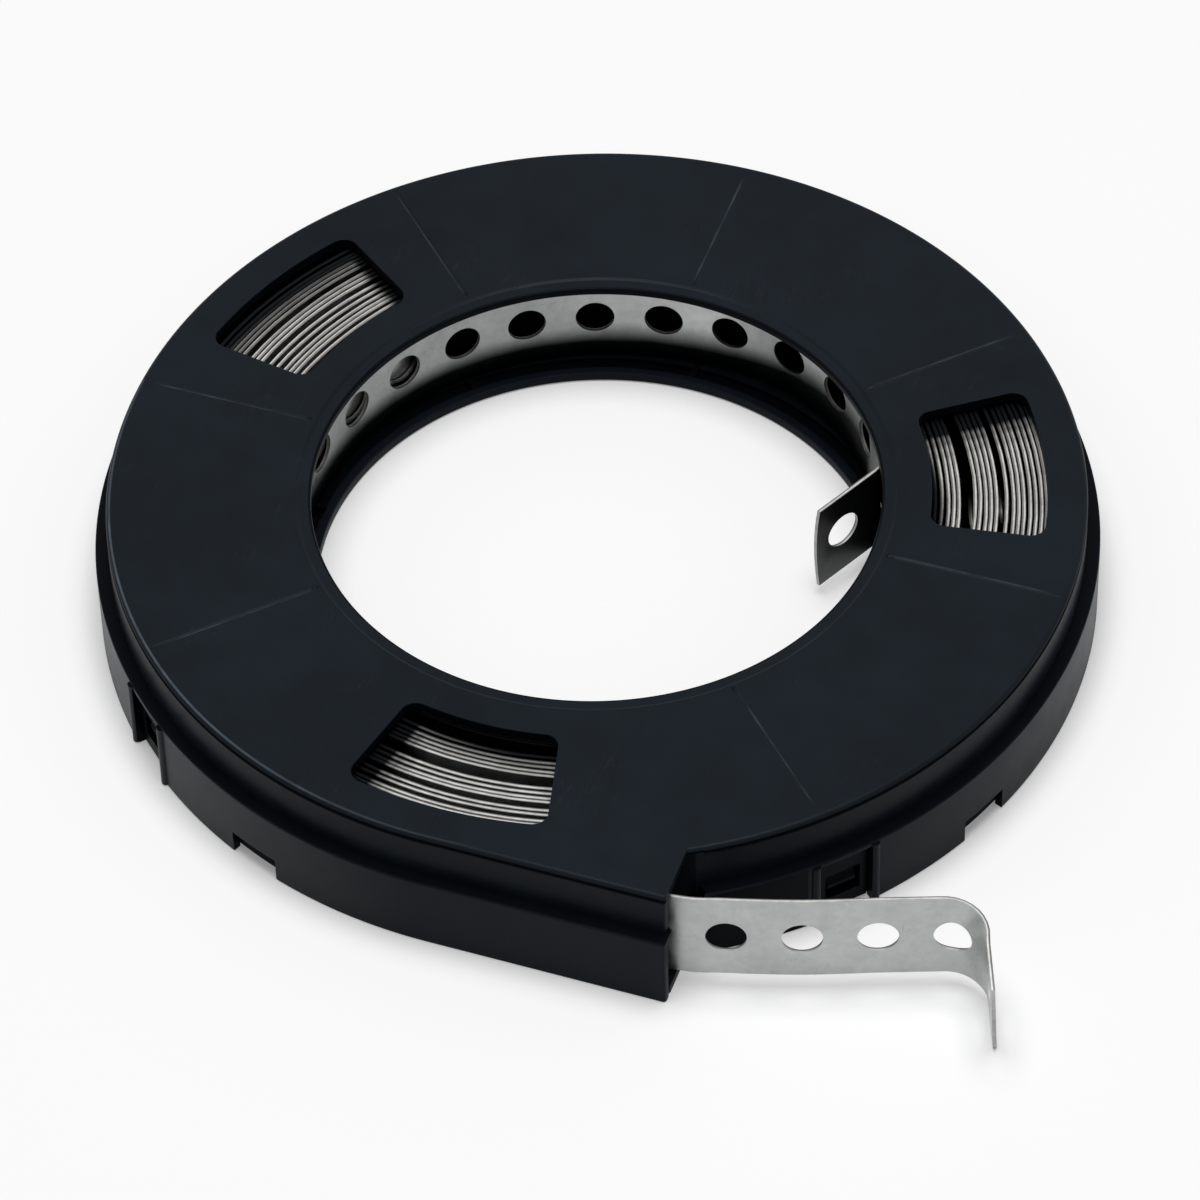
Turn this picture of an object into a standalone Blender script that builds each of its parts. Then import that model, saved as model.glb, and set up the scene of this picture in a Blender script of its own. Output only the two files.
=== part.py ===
"""Perforated steel strap coiled in a ring shaped plastic dispenser case.

The ring's axis is Z and the case lies flat. The spout runs along X, as a
tangent to the ring, and the strap's outer end leaves through its mouth.
While the part is built, Z is zero at the upper surface of the case and all
sizes are in millimetres. At the end everything is moved so that the middle
of the underside is the origin.
"""

import math

import bmesh
import bpy
from mathutils import Vector

MM = 0.001

# Strap
STRAP_WIDTH = 17.0
STRAP_THICKNESS = 0.6
HOLE_DIAMETER = 6.3
HOLE_PITCH = 11.4
BEND_RADIUS = 6.5

# Case
RING_RADIUS = 77.4
BORE_RADIUS = 45.05
SHEET = 1.6
BASE_SHEET = 1.5
BAND_HEIGHT = 8.2
BAND_WALL = 1.2
LEDGE_WIDTH = 2.2
LEDGE_THICKNESS = 1.3
SKIRT_WALL = 1.4
TOP_FILLET = 0.8
LEDGE_FILLET = 0.3
SPOUT_LENGTH = 37.8
SKIRT_SPOUT_LENGTH = 38.4
RIB_HEIGHT = 0.4
RIB_WIDTH = 1.0
BORE_STEP_WIDTH = 2.3
BORE_STEP_DEPTH = 0.35
GUIDE_END = -73.0
PIECE_GAP = 0.3

# Heights, from the upper surface of the case downwards
STRAP_TOP = -(SHEET + RIB_HEIGHT + PIECE_GAP)
STRAP_MIDDLE = STRAP_TOP - STRAP_WIDTH / 2
STRAP_BOTTOM = STRAP_TOP - STRAP_WIDTH
CASE_BOTTOM = STRAP_BOTTOM - PIECE_GAP - RIB_HEIGHT - BASE_SHEET
LEDGE_UNDERSIDE = -BAND_HEIGHT - LEDGE_THICKNESS
BASE_SHEET_TOP = CASE_BOTTOM + BASE_SHEET

# Windows in the cover, their radii as shares of the ring's width
RING_WIDTH = RING_RADIUS - BORE_RADIUS
WINDOW_ANGLES = (-90.0, 22.5, 157.5)
WINDOW_HALF_ANGLE = 13.2
WINDOW_INNER = BORE_RADIUS + 0.292 * RING_WIDTH
WINDOW_OUTER = BORE_RADIUS + 0.787 * RING_WIDTH
WINDOW_CORNER = 2.4

# Moulded ribs, radial
RIB_COUNT = 8
RIB_INNER = BORE_RADIUS + 2.45

# Snap latches, four round the skirt
LATCH_ANGLES = (-132.5, -42.5, 47.5, 137.5)
LATCH_OPENING = 9.0
LATCH_OPENING_TOP = -9.0
LATCH_RIB_WIDTH = 1.3
LATCH_RIB_PROUD = 0.4
LATCH_RIB_SIDES = 8
TONGUE_WIDTH = LATCH_OPENING - 2 * PIECE_GAP
TONGUE_INNER = RING_RADIUS - 0.1
TONGUE_OUTER = RING_RADIUS + 1.0
TONGUE_TOP = LEDGE_UNDERSIDE - PIECE_GAP
SLOT_WIDTH = 6.0
SLOT_TOP = -13.2
SLOT_BOTTOM = -18.3
CATCH_WIDTH = SLOT_WIDTH - 4 * PIECE_GAP
CATCH_TOP = -14.0
CATCH_BOTTOM = -16.8
CATCH_REACH = RING_RADIUS + 0.55

# Notches in the skirt's lower edge
NOTCH_ANGLES = (-112.5, -22.5, 67.5, 157.5)
NOTCH_WIDTH = 9.0
NOTCH_HEIGHT = 4.4

# Base
BASE_OVERHANG = LEDGE_WIDTH - SKIRT_WALL - PIECE_GAP
RIM_WALL = 1.35
RIM_GROOVE_WIDTH = 2.2
RIM_GROOVE_DEPTH = 0.8
RIM_TOP = STRAP_BOTTOM - PIECE_GAP

# Coil, with the gaps between its turns as shares of its width
COIL_INNER = BORE_RADIUS + 6.55
COIL_OUTER = RING_RADIUS - BAND_WALL - 0.7
COIL_END_STEP = 0.05
WIDE_GAPS = ((0.265, 0.335), (0.51, 0.545))
TOP_GROOVES = (0.06, 0.105, 0.15, 0.185, 0.4, 0.44, 0.63, 0.665, 0.74, 0.85, 0.93)
BOTTOM_GROOVES = (0.105, 0.4, 0.665, 0.83)
GROOVE_WIDTH = 0.4
GROOVE_DEPTH = 1.2

# Inner turn, as angle and distance outside the bore, from the fold outwards
INNER_TURN = (
    (43.0, 2.85), (69.5, 5.45), (96.0, 4.85), (135.0, 4.15), (174.0, 3.6),
    (215.0, 3.95), (260.0, 4.75), (320.0, 5.25), (352.0, 5.6), (375.0, 7.3), (405.0, 7.9),
)
INNER_FOLD = (27.07, 0.65)
INNER_END = (12.6, -9.3)
FOLD_SOFTNESS = 3.2
INNER_SOLID_CELLS = 4

# Outer end: where it leaves the coil, as angle and distance inside the ring
OUTER_LEAVING = ((-128.0, 2.9), (-116.0, 2.7), (-103.0, 2.6), (-90.0, 2.6))
# and then as distance along the spout and distance inside the spout's side
OUTER_RUN = ((20.0, 2.65), (37.9, 3.0), (45.4, 4.7), (56.6, 8.0), (67.1, 11.9))
OUTER_BEND = (82.4, 17.4)
OUTER_TIP = (88.05, 3.45)
OUTER_DROOP = math.radians(8.6)
OUTER_TWIST = math.radians(-3.0)
OUTER_HOLES = 7

BLACK_PLASTIC = (0.016, 0.019, 0.022, 1.0)
GALVANISED = (0.48, 0.48, 0.46, 1.0)
ARC_STEP = 3.0
BORE_SEGMENTS = 96
COIL_SEGMENTS = 48


def polar(radius, degrees):
    angle = math.radians(degrees)
    return (radius * math.cos(angle), radius * math.sin(angle))


def material(name, colour, roughness, metallic):
    made = bpy.data.materials.new(name)
    made.use_nodes = True
    shader = made.node_tree.nodes["Principled BSDF"]
    shader.inputs["Base Color"].default_value = colour
    shader.inputs["Roughness"].default_value = roughness
    shader.inputs["Metallic"].default_value = metallic
    return made


def object_from(name, bm):
    bmesh.ops.recalc_face_normals(bm, faces=bm.faces[:])
    mesh = bpy.data.meshes.new(name)
    bm.to_mesh(mesh)
    bm.free()
    made = bpy.data.objects.new(name, mesh)
    bpy.context.scene.collection.objects.link(made)
    return made


def loft(name, loops):
    """A closed solid through loops of equal count, with a flat cap on each end."""
    bm = bmesh.new()
    rows = [[bm.verts.new(Vector(p) * MM) for p in loop] for loop in loops]
    count = len(rows[0])
    for lower, upper in zip(rows, rows[1:]):
        for i in range(count):
            j = (i + 1) % count
            bm.faces.new((lower[i], lower[j], upper[j], upper[i]))
    bm.faces.new(rows[0][::-1])
    bm.faces.new(rows[-1])
    return object_from(name, bm)


def turned(name, profile, segments):
    """A closed ring turned round Z from a profile of radius and height."""
    bm = bmesh.new()
    rows = []
    for step in range(segments):
        turn = 360.0 * step / segments
        rows.append([bm.verts.new(Vector((*polar(r, turn), z)) * MM) for r, z in profile])
    count = len(profile)
    for step in range(segments):
        here = rows[step]
        there = rows[(step + 1) % segments]
        for i in range(count):
            j = (i + 1) % count
            bm.faces.new((here[i], there[i], there[j], here[j]))
    return object_from(name, bm)


def flat_loop(points, height):
    return [(x, y, height) for x, y in points]


def prism(name, points, bottom, top):
    return loft(name, [flat_loop(points, bottom), flat_loop(points, top)])


def disc(radius, segments=BORE_SEGMENTS):
    return [polar(radius, 360.0 * i / segments) for i in range(segments)]


def cut_with(target, cutter, operation="DIFFERENCE"):
    cutter.hide_render = True
    cutter.display_type = "WIRE"
    step = target.modifiers.new(cutter.name, "BOOLEAN")
    step.operation = operation
    step.solver = "EXACT"
    step.object = cutter


def join_with(target, other):
    cut_with(target, other, "UNION")


def arc_angles(start, end):
    steps = math.ceil((end - start) / ARC_STEP)
    return [start + (end - start) * i / steps for i in range(steps + 1)]


def case_outline(offset, length):
    """Plan of ring and spout, grown outwards by the offset."""
    radius = RING_RADIUS + offset
    start = -math.degrees(math.acos(length / radius))
    points = [polar(radius, a) for a in arc_angles(start, 270.0)]
    points.append((length, -radius))
    return points


def inside_outline(offset, outer_offset, length):
    """Plan of the room inside the wall, open through the mouth."""
    radius = RING_RADIUS + offset
    outer = RING_RADIUS + outer_offset
    reach = length + 3 * PIECE_GAP
    start = -math.degrees(math.acos(reach / outer))
    mouth = -math.sqrt(outer**2 - reach**2) - PIECE_GAP
    points = [polar(radius, a) for a in arc_angles(start, 270.0)]
    points.append((length + 3, -radius))
    points.append((length + 3, mouth))
    return points


def corner_arc(radius, degrees, turn, inward, sideways):
    """Points of one rounded corner of a window."""
    centre_radius = radius + inward * WINDOW_CORNER
    shift = math.degrees(WINDOW_CORNER / centre_radius)
    cx, cy = polar(centre_radius, degrees + sideways * shift)
    steps = 4
    return [
        tuple(c + d for c, d in zip((cx, cy), polar(WINDOW_CORNER, turn + 90.0 * i / steps)))
        for i in range(steps + 1)
    ]


def window_outline(middle):
    low = middle - WINDOW_HALF_ANGLE
    high = middle + WINDOW_HALF_ANGLE
    points = corner_arc(WINDOW_OUTER, low, low - 90, -1, 1)
    inset = math.degrees(WINDOW_CORNER / WINDOW_OUTER)
    points += [polar(WINDOW_OUTER, a) for a in arc_angles(low + inset, high - inset)[1:-1]]
    points += corner_arc(WINDOW_OUTER, high, high, -1, -1)
    points += corner_arc(WINDOW_INNER, high, high + 90, 1, -1)
    inset = math.degrees(WINDOW_CORNER / WINDOW_INNER)
    back = arc_angles(low + inset, high - inset)[1:-1]
    points += [polar(WINDOW_INNER, a) for a in back[::-1]]
    points += corner_arc(WINDOW_INNER, low, low + 180, 1, 1)
    return points


def radial_block(name, degrees, inner, outer, width, bottom, top, aside=0.0):
    """A straight block whose length points away from the axis."""
    half = width / 2
    corners = ((inner, aside - half), (outer, aside - half), (outer, aside + half), (inner, aside + half))
    angle = math.radians(degrees)
    turned_corners = [
        (x * math.cos(angle) - y * math.sin(angle), x * math.sin(angle) + y * math.cos(angle))
        for x, y in corners
    ]
    return prism(name, turned_corners, bottom, top)


def round_rib(name, degrees, root, proud, width, bottom, top, aside):
    """An upright rib on the skirt with a rounded outer face."""
    half = width / 2
    plan = [(root - 1.0, aside + half), (root - 1.0, aside - half)]
    for step in range(LATCH_RIB_SIDES + 1):
        turn = math.radians(180.0 * step / LATCH_RIB_SIDES - 90.0)
        plan.append((root + proud * math.cos(turn), aside + half * math.sin(turn)))
    angle = math.radians(degrees)
    points = [
        (x * math.cos(angle) - y * math.sin(angle), x * math.sin(angle) + y * math.cos(angle))
        for x, y in plan
    ]
    return prism(name, points, bottom, top)


def latch_catch(name, degrees):
    """A finger under the band, with a wedge that sits in the tongue's slot."""
    finger_inner = RING_RADIUS - BAND_WALL + 0.15
    finger_outer = TONGUE_INNER - PIECE_GAP
    side = [
        (finger_inner, -BAND_HEIGHT),
        (finger_outer, -BAND_HEIGHT),
        (finger_outer, CATCH_TOP),
        (CATCH_REACH, CATCH_BOTTOM + 0.9),
        (CATCH_REACH, CATCH_BOTTOM),
        (finger_inner, CATCH_BOTTOM),
    ]
    angle = math.radians(degrees)
    loops = []
    for y in (-CATCH_WIDTH / 2, CATCH_WIDTH / 2):
        loops.append([
            (x * math.cos(angle) - y * math.sin(angle), x * math.sin(angle) + y * math.cos(angle), z)
            for x, z in side
        ])
    return loft(name, loops)


def guide_wall():
    """The ring's wall carried on behind the strap, inside the spout."""
    start = -math.degrees(math.acos(SPOUT_LENGTH / RING_RADIUS))
    angles = arc_angles(GUIDE_END, start + 2.0)
    plan = [polar(RING_RADIUS, a) for a in angles]
    plan += [polar(RING_RADIUS - BAND_WALL, a) for a in angles[::-1]]
    return prism("guide_wall", plan, STRAP_BOTTOM, -SHEET / 2)


def make_cover():
    skirt_levels = [
        (LEDGE_WIDTH, CASE_BOTTOM),
        (LEDGE_WIDTH, -BAND_HEIGHT - LEDGE_FILLET),
        (LEDGE_WIDTH - LEDGE_FILLET, -BAND_HEIGHT),
    ]
    band_levels = [(0.0, -BAND_HEIGHT - LEDGE_THICKNESS / 2)]
    for step in range(4):
        angle = math.radians(90.0 * step / 3)
        across = TOP_FILLET * (math.cos(angle) - 1)
        band_levels.append((across, TOP_FILLET * (math.sin(angle) - 1)))
    cover = loft("case_cover", [
        flat_loop(case_outline(offset, SKIRT_SPOUT_LENGTH), z) for offset, z in skirt_levels
    ])
    join_with(cover, loft("cover_band", [
        flat_loop(case_outline(offset, SPOUT_LENGTH), z) for offset, z in band_levels
    ]))
    for number, angle in enumerate(LATCH_ANGLES):
        for side in (-1, 1):
            aside = side * (LATCH_OPENING + LATCH_RIB_WIDTH) / 2
            rib = round_rib(
                f"latch_rib_{number}_{side + 1}", angle, RING_RADIUS + LEDGE_WIDTH - 0.15,
                LATCH_RIB_PROUD + 0.15, LATCH_RIB_WIDTH + 0.1, CASE_BOTTOM + 0.2,
                -BAND_HEIGHT - LEDGE_FILLET - 0.1, aside,
            )
            join_with(cover, rib)
    band_room = prism(
        "band_room", inside_outline(-BAND_WALL, 0.0, SPOUT_LENGTH), LEDGE_UNDERSIDE - 1, -SHEET
    )
    skirt_room = prism(
        "skirt_room",
        inside_outline(LEDGE_WIDTH - SKIRT_WALL, LEDGE_WIDTH, SKIRT_SPOUT_LENGTH),
        CASE_BOTTOM - 2, LEDGE_UNDERSIDE,
    )
    cut_with(cover, band_room)
    cut_with(cover, skirt_room)
    join_with(cover, guide_wall())
    for number in range(RIB_COUNT):
        angle = 360.0 * number / RIB_COUNT
        if abs(angle - 270.0) > 1:
            rib = radial_block(
                f"cover_rib_{number}", angle, RIB_INNER, RING_RADIUS - BAND_WALL / 2,
                RIB_WIDTH, -SHEET - RIB_HEIGHT, -SHEET / 2,
            )
            join_with(cover, rib)
    for number, angle in enumerate(LATCH_ANGLES):
        opening = radial_block(
            f"latch_opening_{number}", angle, RING_RADIUS + 0.5, RING_RADIUS + 6,
            LATCH_OPENING, CASE_BOTTOM - 2, LATCH_OPENING_TOP,
        )
        cut_with(cover, opening)
        join_with(cover, latch_catch(f"latch_catch_{number}", angle))
    for number, angle in enumerate(NOTCH_ANGLES):
        notch = radial_block(
            f"notch_{number}", angle, RING_RADIUS - 1, RING_RADIUS + 6,
            NOTCH_WIDTH, CASE_BOTTOM - 2, CASE_BOTTOM + NOTCH_HEIGHT,
        )
        cut_with(cover, notch)
    step = turned("bore_step", [
        (BORE_RADIUS - 5, 2), (BORE_RADIUS - 5, -BORE_STEP_DEPTH),
        (BORE_RADIUS + BORE_STEP_WIDTH - BORE_STEP_DEPTH, -BORE_STEP_DEPTH),
        (BORE_RADIUS + BORE_STEP_WIDTH + 2, 2),
    ], BORE_SEGMENTS)
    cut_with(cover, step)
    cut_with(cover, prism("cover_bore", disc(BORE_RADIUS), -6, 3))
    for number, angle in enumerate(WINDOW_ANGLES):
        window = prism(f"window_{number}", window_outline(angle), -5, 3)
        cut_with(cover, window)
    return cover


def make_base():
    plan = case_outline(BASE_OVERHANG, SKIRT_SPOUT_LENGTH)
    base = prism("case_base", plan, CASE_BOTTOM, BASE_SHEET_TOP)
    inside = BASE_SHEET_TOP - SHEET / 2
    rim = prism("base_rim", disc(BORE_RADIUS + RIM_WALL), inside, RIM_TOP)
    join_with(base, rim)
    groove_inner = BORE_RADIUS + RIM_WALL + 0.4
    groove = turned("rim_groove", [
        (groove_inner, RIM_TOP + 2), (groove_inner, BASE_SHEET_TOP - RIM_GROOVE_DEPTH),
        (groove_inner + RIM_GROOVE_WIDTH, BASE_SHEET_TOP - RIM_GROOVE_DEPTH),
        (groove_inner + RIM_GROOVE_WIDTH, RIM_TOP + 2),
    ], BORE_SEGMENTS)
    cut_with(base, groove)
    for number in range(RIB_COUNT):
        rib = radial_block(
            f"base_rib_{number}", 360.0 * number / RIB_COUNT, BORE_RADIUS + RIM_WALL / 2,
            RING_RADIUS - BAND_WALL, RIB_WIDTH, BASE_SHEET_TOP - RIM_GROOVE_DEPTH - 0.2,
            BASE_SHEET_TOP + RIB_HEIGHT,
        )
        join_with(base, rib)
    for number, angle in enumerate(LATCH_ANGLES):
        tongue = radial_block(
            f"tongue_{number}", angle, TONGUE_INNER, TONGUE_OUTER, TONGUE_WIDTH,
            inside, TONGUE_TOP,
        )
        join_with(base, tongue)
    for number, angle in enumerate(LATCH_ANGLES):
        slot = radial_block(
            f"slot_{number}", angle, TONGUE_INNER - 2, TONGUE_OUTER + 2, SLOT_WIDTH,
            SLOT_BOTTOM, SLOT_TOP,
        )
        cut_with(base, slot)
    cut_with(base, prism("base_bore", disc(BORE_RADIUS), CASE_BOTTOM - 3, RIM_TOP + 3))
    return base


def end_profile(grooves, height, into):
    """Points across one end of the coil, from its bore outwards."""
    width = COIL_OUTER - COIL_INNER
    marks = []
    for share in grooves:
        middle = COIL_INNER + share * width
        marks.append((middle - GROOVE_WIDTH / 2, middle + GROOVE_WIDTH / 2, True))
    for low, high in WIDE_GAPS:
        marks.append((COIL_INNER + low * width, COIL_INNER + high * width, False))
    points = [(COIL_INNER, height)]
    for low, high, narrow in sorted(marks):
        points.append((low, height))
        if narrow:
            points.append(((low + high) / 2, height + into * GROOVE_DEPTH))
        else:
            points.append((low + 0.1, height + into * GROOVE_DEPTH * 2))
            points.append((high - 0.1, height + into * GROOVE_DEPTH * 2))
        points.append((high, height))
    points.append((COIL_OUTER, height))
    return points


def smooth_curve(points, steps):
    """A curve through the points, with its slope taken from their neighbours."""
    ends = [points[0]] + list(points) + [points[-1]]
    found = []
    for a, b, c, d in zip(ends, ends[1:], ends[2:], ends[3:]):
        for i in range(steps):
            t = i / steps
            found.append(tuple(
                0.5 * (2 * q + (r - p) * t + (2 * p - 5 * q + 4 * r - s) * t**2
                       + (3 * q - p - 3 * r + s) * t**3)
                for p, q, r, s in zip(a, b, c, d)
            ))
    found.append(tuple(points[-1]))
    return found


def rounded_corner(before, corner, after, radius, steps=16):
    """Points that take a corner with an arc, from one straight to the next."""
    corner = Vector(corner)
    back = (Vector(before) - corner).normalized()
    ahead = (Vector(after) - corner).normalized()
    half = back.angle(ahead) / 2
    reach = radius / math.tan(half)
    centre = corner + (back + ahead).normalized() * (radius / math.sin(half))
    first = corner + back * reach - centre
    last = corner + ahead * reach - centre
    sweep = first.angle_signed(last)
    found = []
    for i in range(steps + 1):
        turn = -sweep * i / steps
        x = first.x * math.cos(turn) - first.y * math.sin(turn)
        y = first.x * math.sin(turn) + first.y * math.cos(turn)
        found.append((centre.x + x, centre.y + y))
    return found


class Path:
    """A plan curve measured along its length."""

    def __init__(self, points):
        self.points = [Vector(p) for p in points]
        self.lengths = [0.0]
        for a, b in zip(self.points, self.points[1:]):
            self.lengths.append(self.lengths[-1] + (b - a).length)

    def at(self, s):
        last = len(self.points) - 2
        i = 0
        while i < last and self.lengths[i + 1] < s:
            i += 1
        part = (s - self.lengths[i]) / (self.lengths[i + 1] - self.lengths[i])
        return self.points[i].lerp(self.points[i + 1], part)

    def frame(self, s):
        here = self.at(s)
        ahead = (self.at(s + 0.4) - self.at(s - 0.4)).normalized()
        return here, ahead


def cell_rings(middle, hole, across_steps):
    """Points of one pitch of strap: rings from the hole's edge to the outline."""
    half = HOLE_PITCH / 2
    tall = STRAP_WIDTH / 2
    edge = [(half, tall * i / 2) for i in range(-2, 2)]
    edge += [(half - HOLE_PITCH * i / across_steps, tall) for i in range(across_steps)]
    edge += [(-half, -tall * i / 2) for i in range(-2, 2)]
    edge += [(-half + HOLE_PITCH * i / across_steps, -tall) for i in range(across_steps)]
    turns = [-45 + 22.5 * i for i in range(4)]
    turns += [45 + 90.0 * i / across_steps for i in range(across_steps)]
    turns += [135 + 22.5 * i for i in range(4)]
    turns += [225 + 90.0 * i / across_steps for i in range(across_steps)]
    inner = [polar(HOLE_DIAMETER / 2, t) for t in turns]
    rings = [inner]
    if across_steps > 4:
        rings.append([((a + c) / 2, (b + d) / 2) for (a, b), (c, d) in zip(inner, edge)])
    rings.append(edge)
    if not hole:
        rings = [[(0.0, 0.0)] * len(edge), edge]
    return [[(middle + x, y) for x, y in ring] for ring in rings]


def perforated_strip(name, place, cells):
    """Strap bent along a path. Cells are (hole, steps across), from length zero."""
    bm = bmesh.new()
    known = {}

    def corner(s, y, face):
        key = (round(s, 4), round(y, 4), face)
        if key not in known:
            known[key] = bm.verts.new(place(s, y, face * STRAP_THICKNESS / 2) * MM)
        return known[key]

    def wall(a, b):
        bm.faces.new((corner(*a, 1), corner(*b, 1), corner(*b, -1), corner(*a, -1)))

    for number, (hole, across_steps) in enumerate(cells):
        rings = cell_rings((number + 0.5) * HOLE_PITCH, hole, across_steps)
        count = len(rings[0])
        for face in (1, -1):
            for inner, outer in zip(rings, rings[1:]):
                for i in range(count):
                    j = (i + 1) % count
                    ring = [corner(*inner[i], face), corner(*outer[i], face)]
                    ring += [corner(*outer[j], face), corner(*inner[j], face)]
                    bm.faces.new(list(dict.fromkeys(ring)))
        left = number * HOLE_PITCH
        right = left + HOLE_PITCH
        for i in range(count):
            j = (i + 1) % count
            if hole:
                wall(rings[0][i], rings[0][j])
            a = rings[-1][i]
            b = rings[-1][j]
            on_left = abs(a[0] - left) < 0.01 and abs(b[0] - left) < 0.01
            on_right = abs(a[0] - right) < 0.01 and abs(b[0] - right) < 0.01
            shared = (on_left and number > 0) or (on_right and number < len(cells) - 1)
            if not shared:
                wall(a, b)
    return object_from(name, bm)


def inner_strip():
    end = polar(BORE_RADIUS + INNER_END[1], INNER_END[0])
    corner = polar(BORE_RADIUS + INNER_FOLD[1], INNER_FOLD[0])
    turn = [polar(BORE_RADIUS + out, a) for a, out in smooth_curve(INNER_TURN, 10)]
    fold = rounded_corner(end, corner, turn[0], FOLD_SOFTNESS)
    path = Path([end] + fold + turn)

    def place(s, y, out):
        here, ahead = path.frame(s)
        side = Vector((ahead.y, -ahead.x))
        return Vector((*(here + side * out), STRAP_MIDDLE + y))

    count = int(path.lengths[-1] / HOLE_PITCH)
    cells = [(i < count - INNER_SOLID_CELLS, 8 if i in (0, 1) else 4) for i in range(count)]
    return perforated_strip("inner_turn", place, cells)


def outer_strip():
    leaving = [polar(RING_RADIUS - inside, a) for a, inside in OUTER_LEAVING]
    run = [(x, inside - RING_RADIUS) for x, inside in OUTER_RUN]
    corner = (OUTER_BEND[0], OUTER_BEND[1] - RING_RADIUS)
    tip = (OUTER_TIP[0], OUTER_TIP[1] - RING_RADIUS)
    bend = rounded_corner(tip, corner, run[-1], BEND_RADIUS)
    points = smooth_curve(leaving + run, 8)[::-1]
    path = Path([tip] + bend + points)
    straight = (Vector(bend[0]) - Vector(tip)).length
    curved = sum((Vector(b) - Vector(a)).length for a, b in zip(bend, bend[1:]))

    def slope(s):
        past = min(max((straight + curved - s) / curved, 0.0), 1.0)
        return OUTER_DROOP * past

    def drop(s):
        total = 0.0
        reach = straight + curved
        steps = 24
        for i in range(steps):
            middle = s + (reach - s) * (i + 0.5) / steps
            if s < reach:
                total += math.sin(slope(middle)) * (reach - s) / steps
        return total

    def place(s, y, out):
        here, ahead = path.frame(s)
        side = Vector((ahead.y, -ahead.x))
        tilt = slope(s)
        lean = y * math.sin(OUTER_TWIST) * tilt / OUTER_DROOP
        flat = here + side * (out + lean) - ahead * y * math.sin(tilt)
        return Vector((*flat, STRAP_MIDDLE - drop(s) + y * math.cos(tilt)))

    count = int(path.lengths[-1] / HOLE_PITCH)
    cells = [(i < OUTER_HOLES, 8 if i in (0, 1) else 4) for i in range(count)]
    return perforated_strip("outer_run", place, cells)


def make_strap():
    top = end_profile(TOP_GROOVES, STRAP_TOP - COIL_END_STEP, -1)
    bottom = end_profile(BOTTOM_GROOVES, STRAP_BOTTOM + COIL_END_STEP, 1)
    strap = turned("strap", top + bottom[::-1], COIL_SEGMENTS)
    join_with(strap, inner_strip())
    join_with(strap, outer_strip())
    return strap


def smooth_round(target, degrees):
    for face in target.data.polygons:
        face.use_smooth = True
    target.data.set_sharp_from_angle(angle=math.radians(degrees))


def box_of(targets):
    graph = bpy.context.evaluated_depsgraph_get()
    found = []
    for target in targets:
        mesh = target.evaluated_get(graph).to_mesh()
        found += [target.matrix_world @ v.co for v in mesh.vertices]
    low = [min(p[i] for p in found) for i in range(3)]
    high = [max(p[i] for p in found) for i in range(3)]
    return low, high


def main():
    for old in list(bpy.data.objects):
        bpy.data.objects.remove(old, do_unlink=True)
    plastic = material("black_plastic", BLACK_PLASTIC, 0.38, 0.0)
    steel = material("galvanised_steel", GALVANISED, 0.32, 1.0)
    pieces = [make_cover(), make_base(), make_strap()]
    for piece, surface in zip(pieces, (plastic, plastic, steel)):
        piece.data.materials.append(surface)
        smooth_round(piece, 30)
    bpy.context.view_layer.update()
    low, high = box_of(pieces)
    middle = Vector(((low[0] + high[0]) / 2, (low[1] + high[1]) / 2, low[2]))
    for item in bpy.data.objects:
        item.location = -middle


main()
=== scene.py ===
"""Looks of a perforated steel strap, coiled in a black dispenser case.

Written as an add-on and run as a script. Sizes are held in metres in the
property groups. The shapes are worked out in millimetres round the ring's
axis, with zero height at the upper surface of the case, and are then moved
to where the frame has them.
"""

import functools
import math
from bisect import bisect_right

import bpy
from bpy.props import FloatProperty, FloatVectorProperty, PointerProperty
from mathutils import Matrix, Vector


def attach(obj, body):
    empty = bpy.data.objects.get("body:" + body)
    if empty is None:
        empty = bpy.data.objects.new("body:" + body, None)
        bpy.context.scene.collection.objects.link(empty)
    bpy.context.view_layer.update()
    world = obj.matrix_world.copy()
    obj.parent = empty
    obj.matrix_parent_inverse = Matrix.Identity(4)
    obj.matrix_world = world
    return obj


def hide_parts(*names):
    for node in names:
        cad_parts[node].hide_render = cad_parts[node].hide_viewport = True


bl_info = {
    "name": "Perforated strap in a dispenser case",
    "version": (1, 0, 0),
    "blender": (4, 5, 0),
    "location": "View3D > Sidebar > Strap",
    "description": "Builds the case, the coiled perforated strap and the stage",
    "category": "Add Mesh",
}

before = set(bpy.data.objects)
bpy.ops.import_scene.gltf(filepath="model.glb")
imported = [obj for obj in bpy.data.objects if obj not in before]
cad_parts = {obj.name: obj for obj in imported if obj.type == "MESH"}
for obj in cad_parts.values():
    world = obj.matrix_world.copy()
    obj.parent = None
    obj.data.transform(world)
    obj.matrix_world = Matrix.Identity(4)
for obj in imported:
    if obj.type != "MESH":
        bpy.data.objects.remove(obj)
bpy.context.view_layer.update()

MM = 0.001
RING_CENTRE = Vector((-4.398, 0.006, 21.5)) * MM

WINDOW_ANGLES = (-90.0, 22.5, 157.5)
LATCH_ANGLES = (-132.5, -42.5, 47.5, 137.5)
NOTCH_ANGLES = (-112.5, -22.5, 67.5, 157.5)
RIB_COUNT = 8
RIB_AT_SPOUT = 6
LATCH_WIDTH = 9.0
NOTCH_WIDTH = 9.0

# Where the wall that guides the strap in the spout starts, in degrees
GUIDE_ANGLE = -73.0

# Where the skirt gets painted light and the top edge a painted highlight, and
# where the front window keeps the moulded lines' painted highlights off, as two
# angles round the ring and the angle over which each fades, in radians
SKIRT_LIGHT_TURN = (-3.30, -1.62, 0.55)
EDGE_HIGHLIGHT_TURN = (-3.40, -1.45, 0.70)
FRONT_WINDOW_TURN = (-1.90, -1.24, 0.05)

# How far in from a window's edge its painted shadow reaches, and the side it falls from,
# in degrees
WINDOW_SHADOW_REACHES = (3.5, 5.5, 8.0)
WINDOW_SHADOW_SIDE = 128.0
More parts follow.
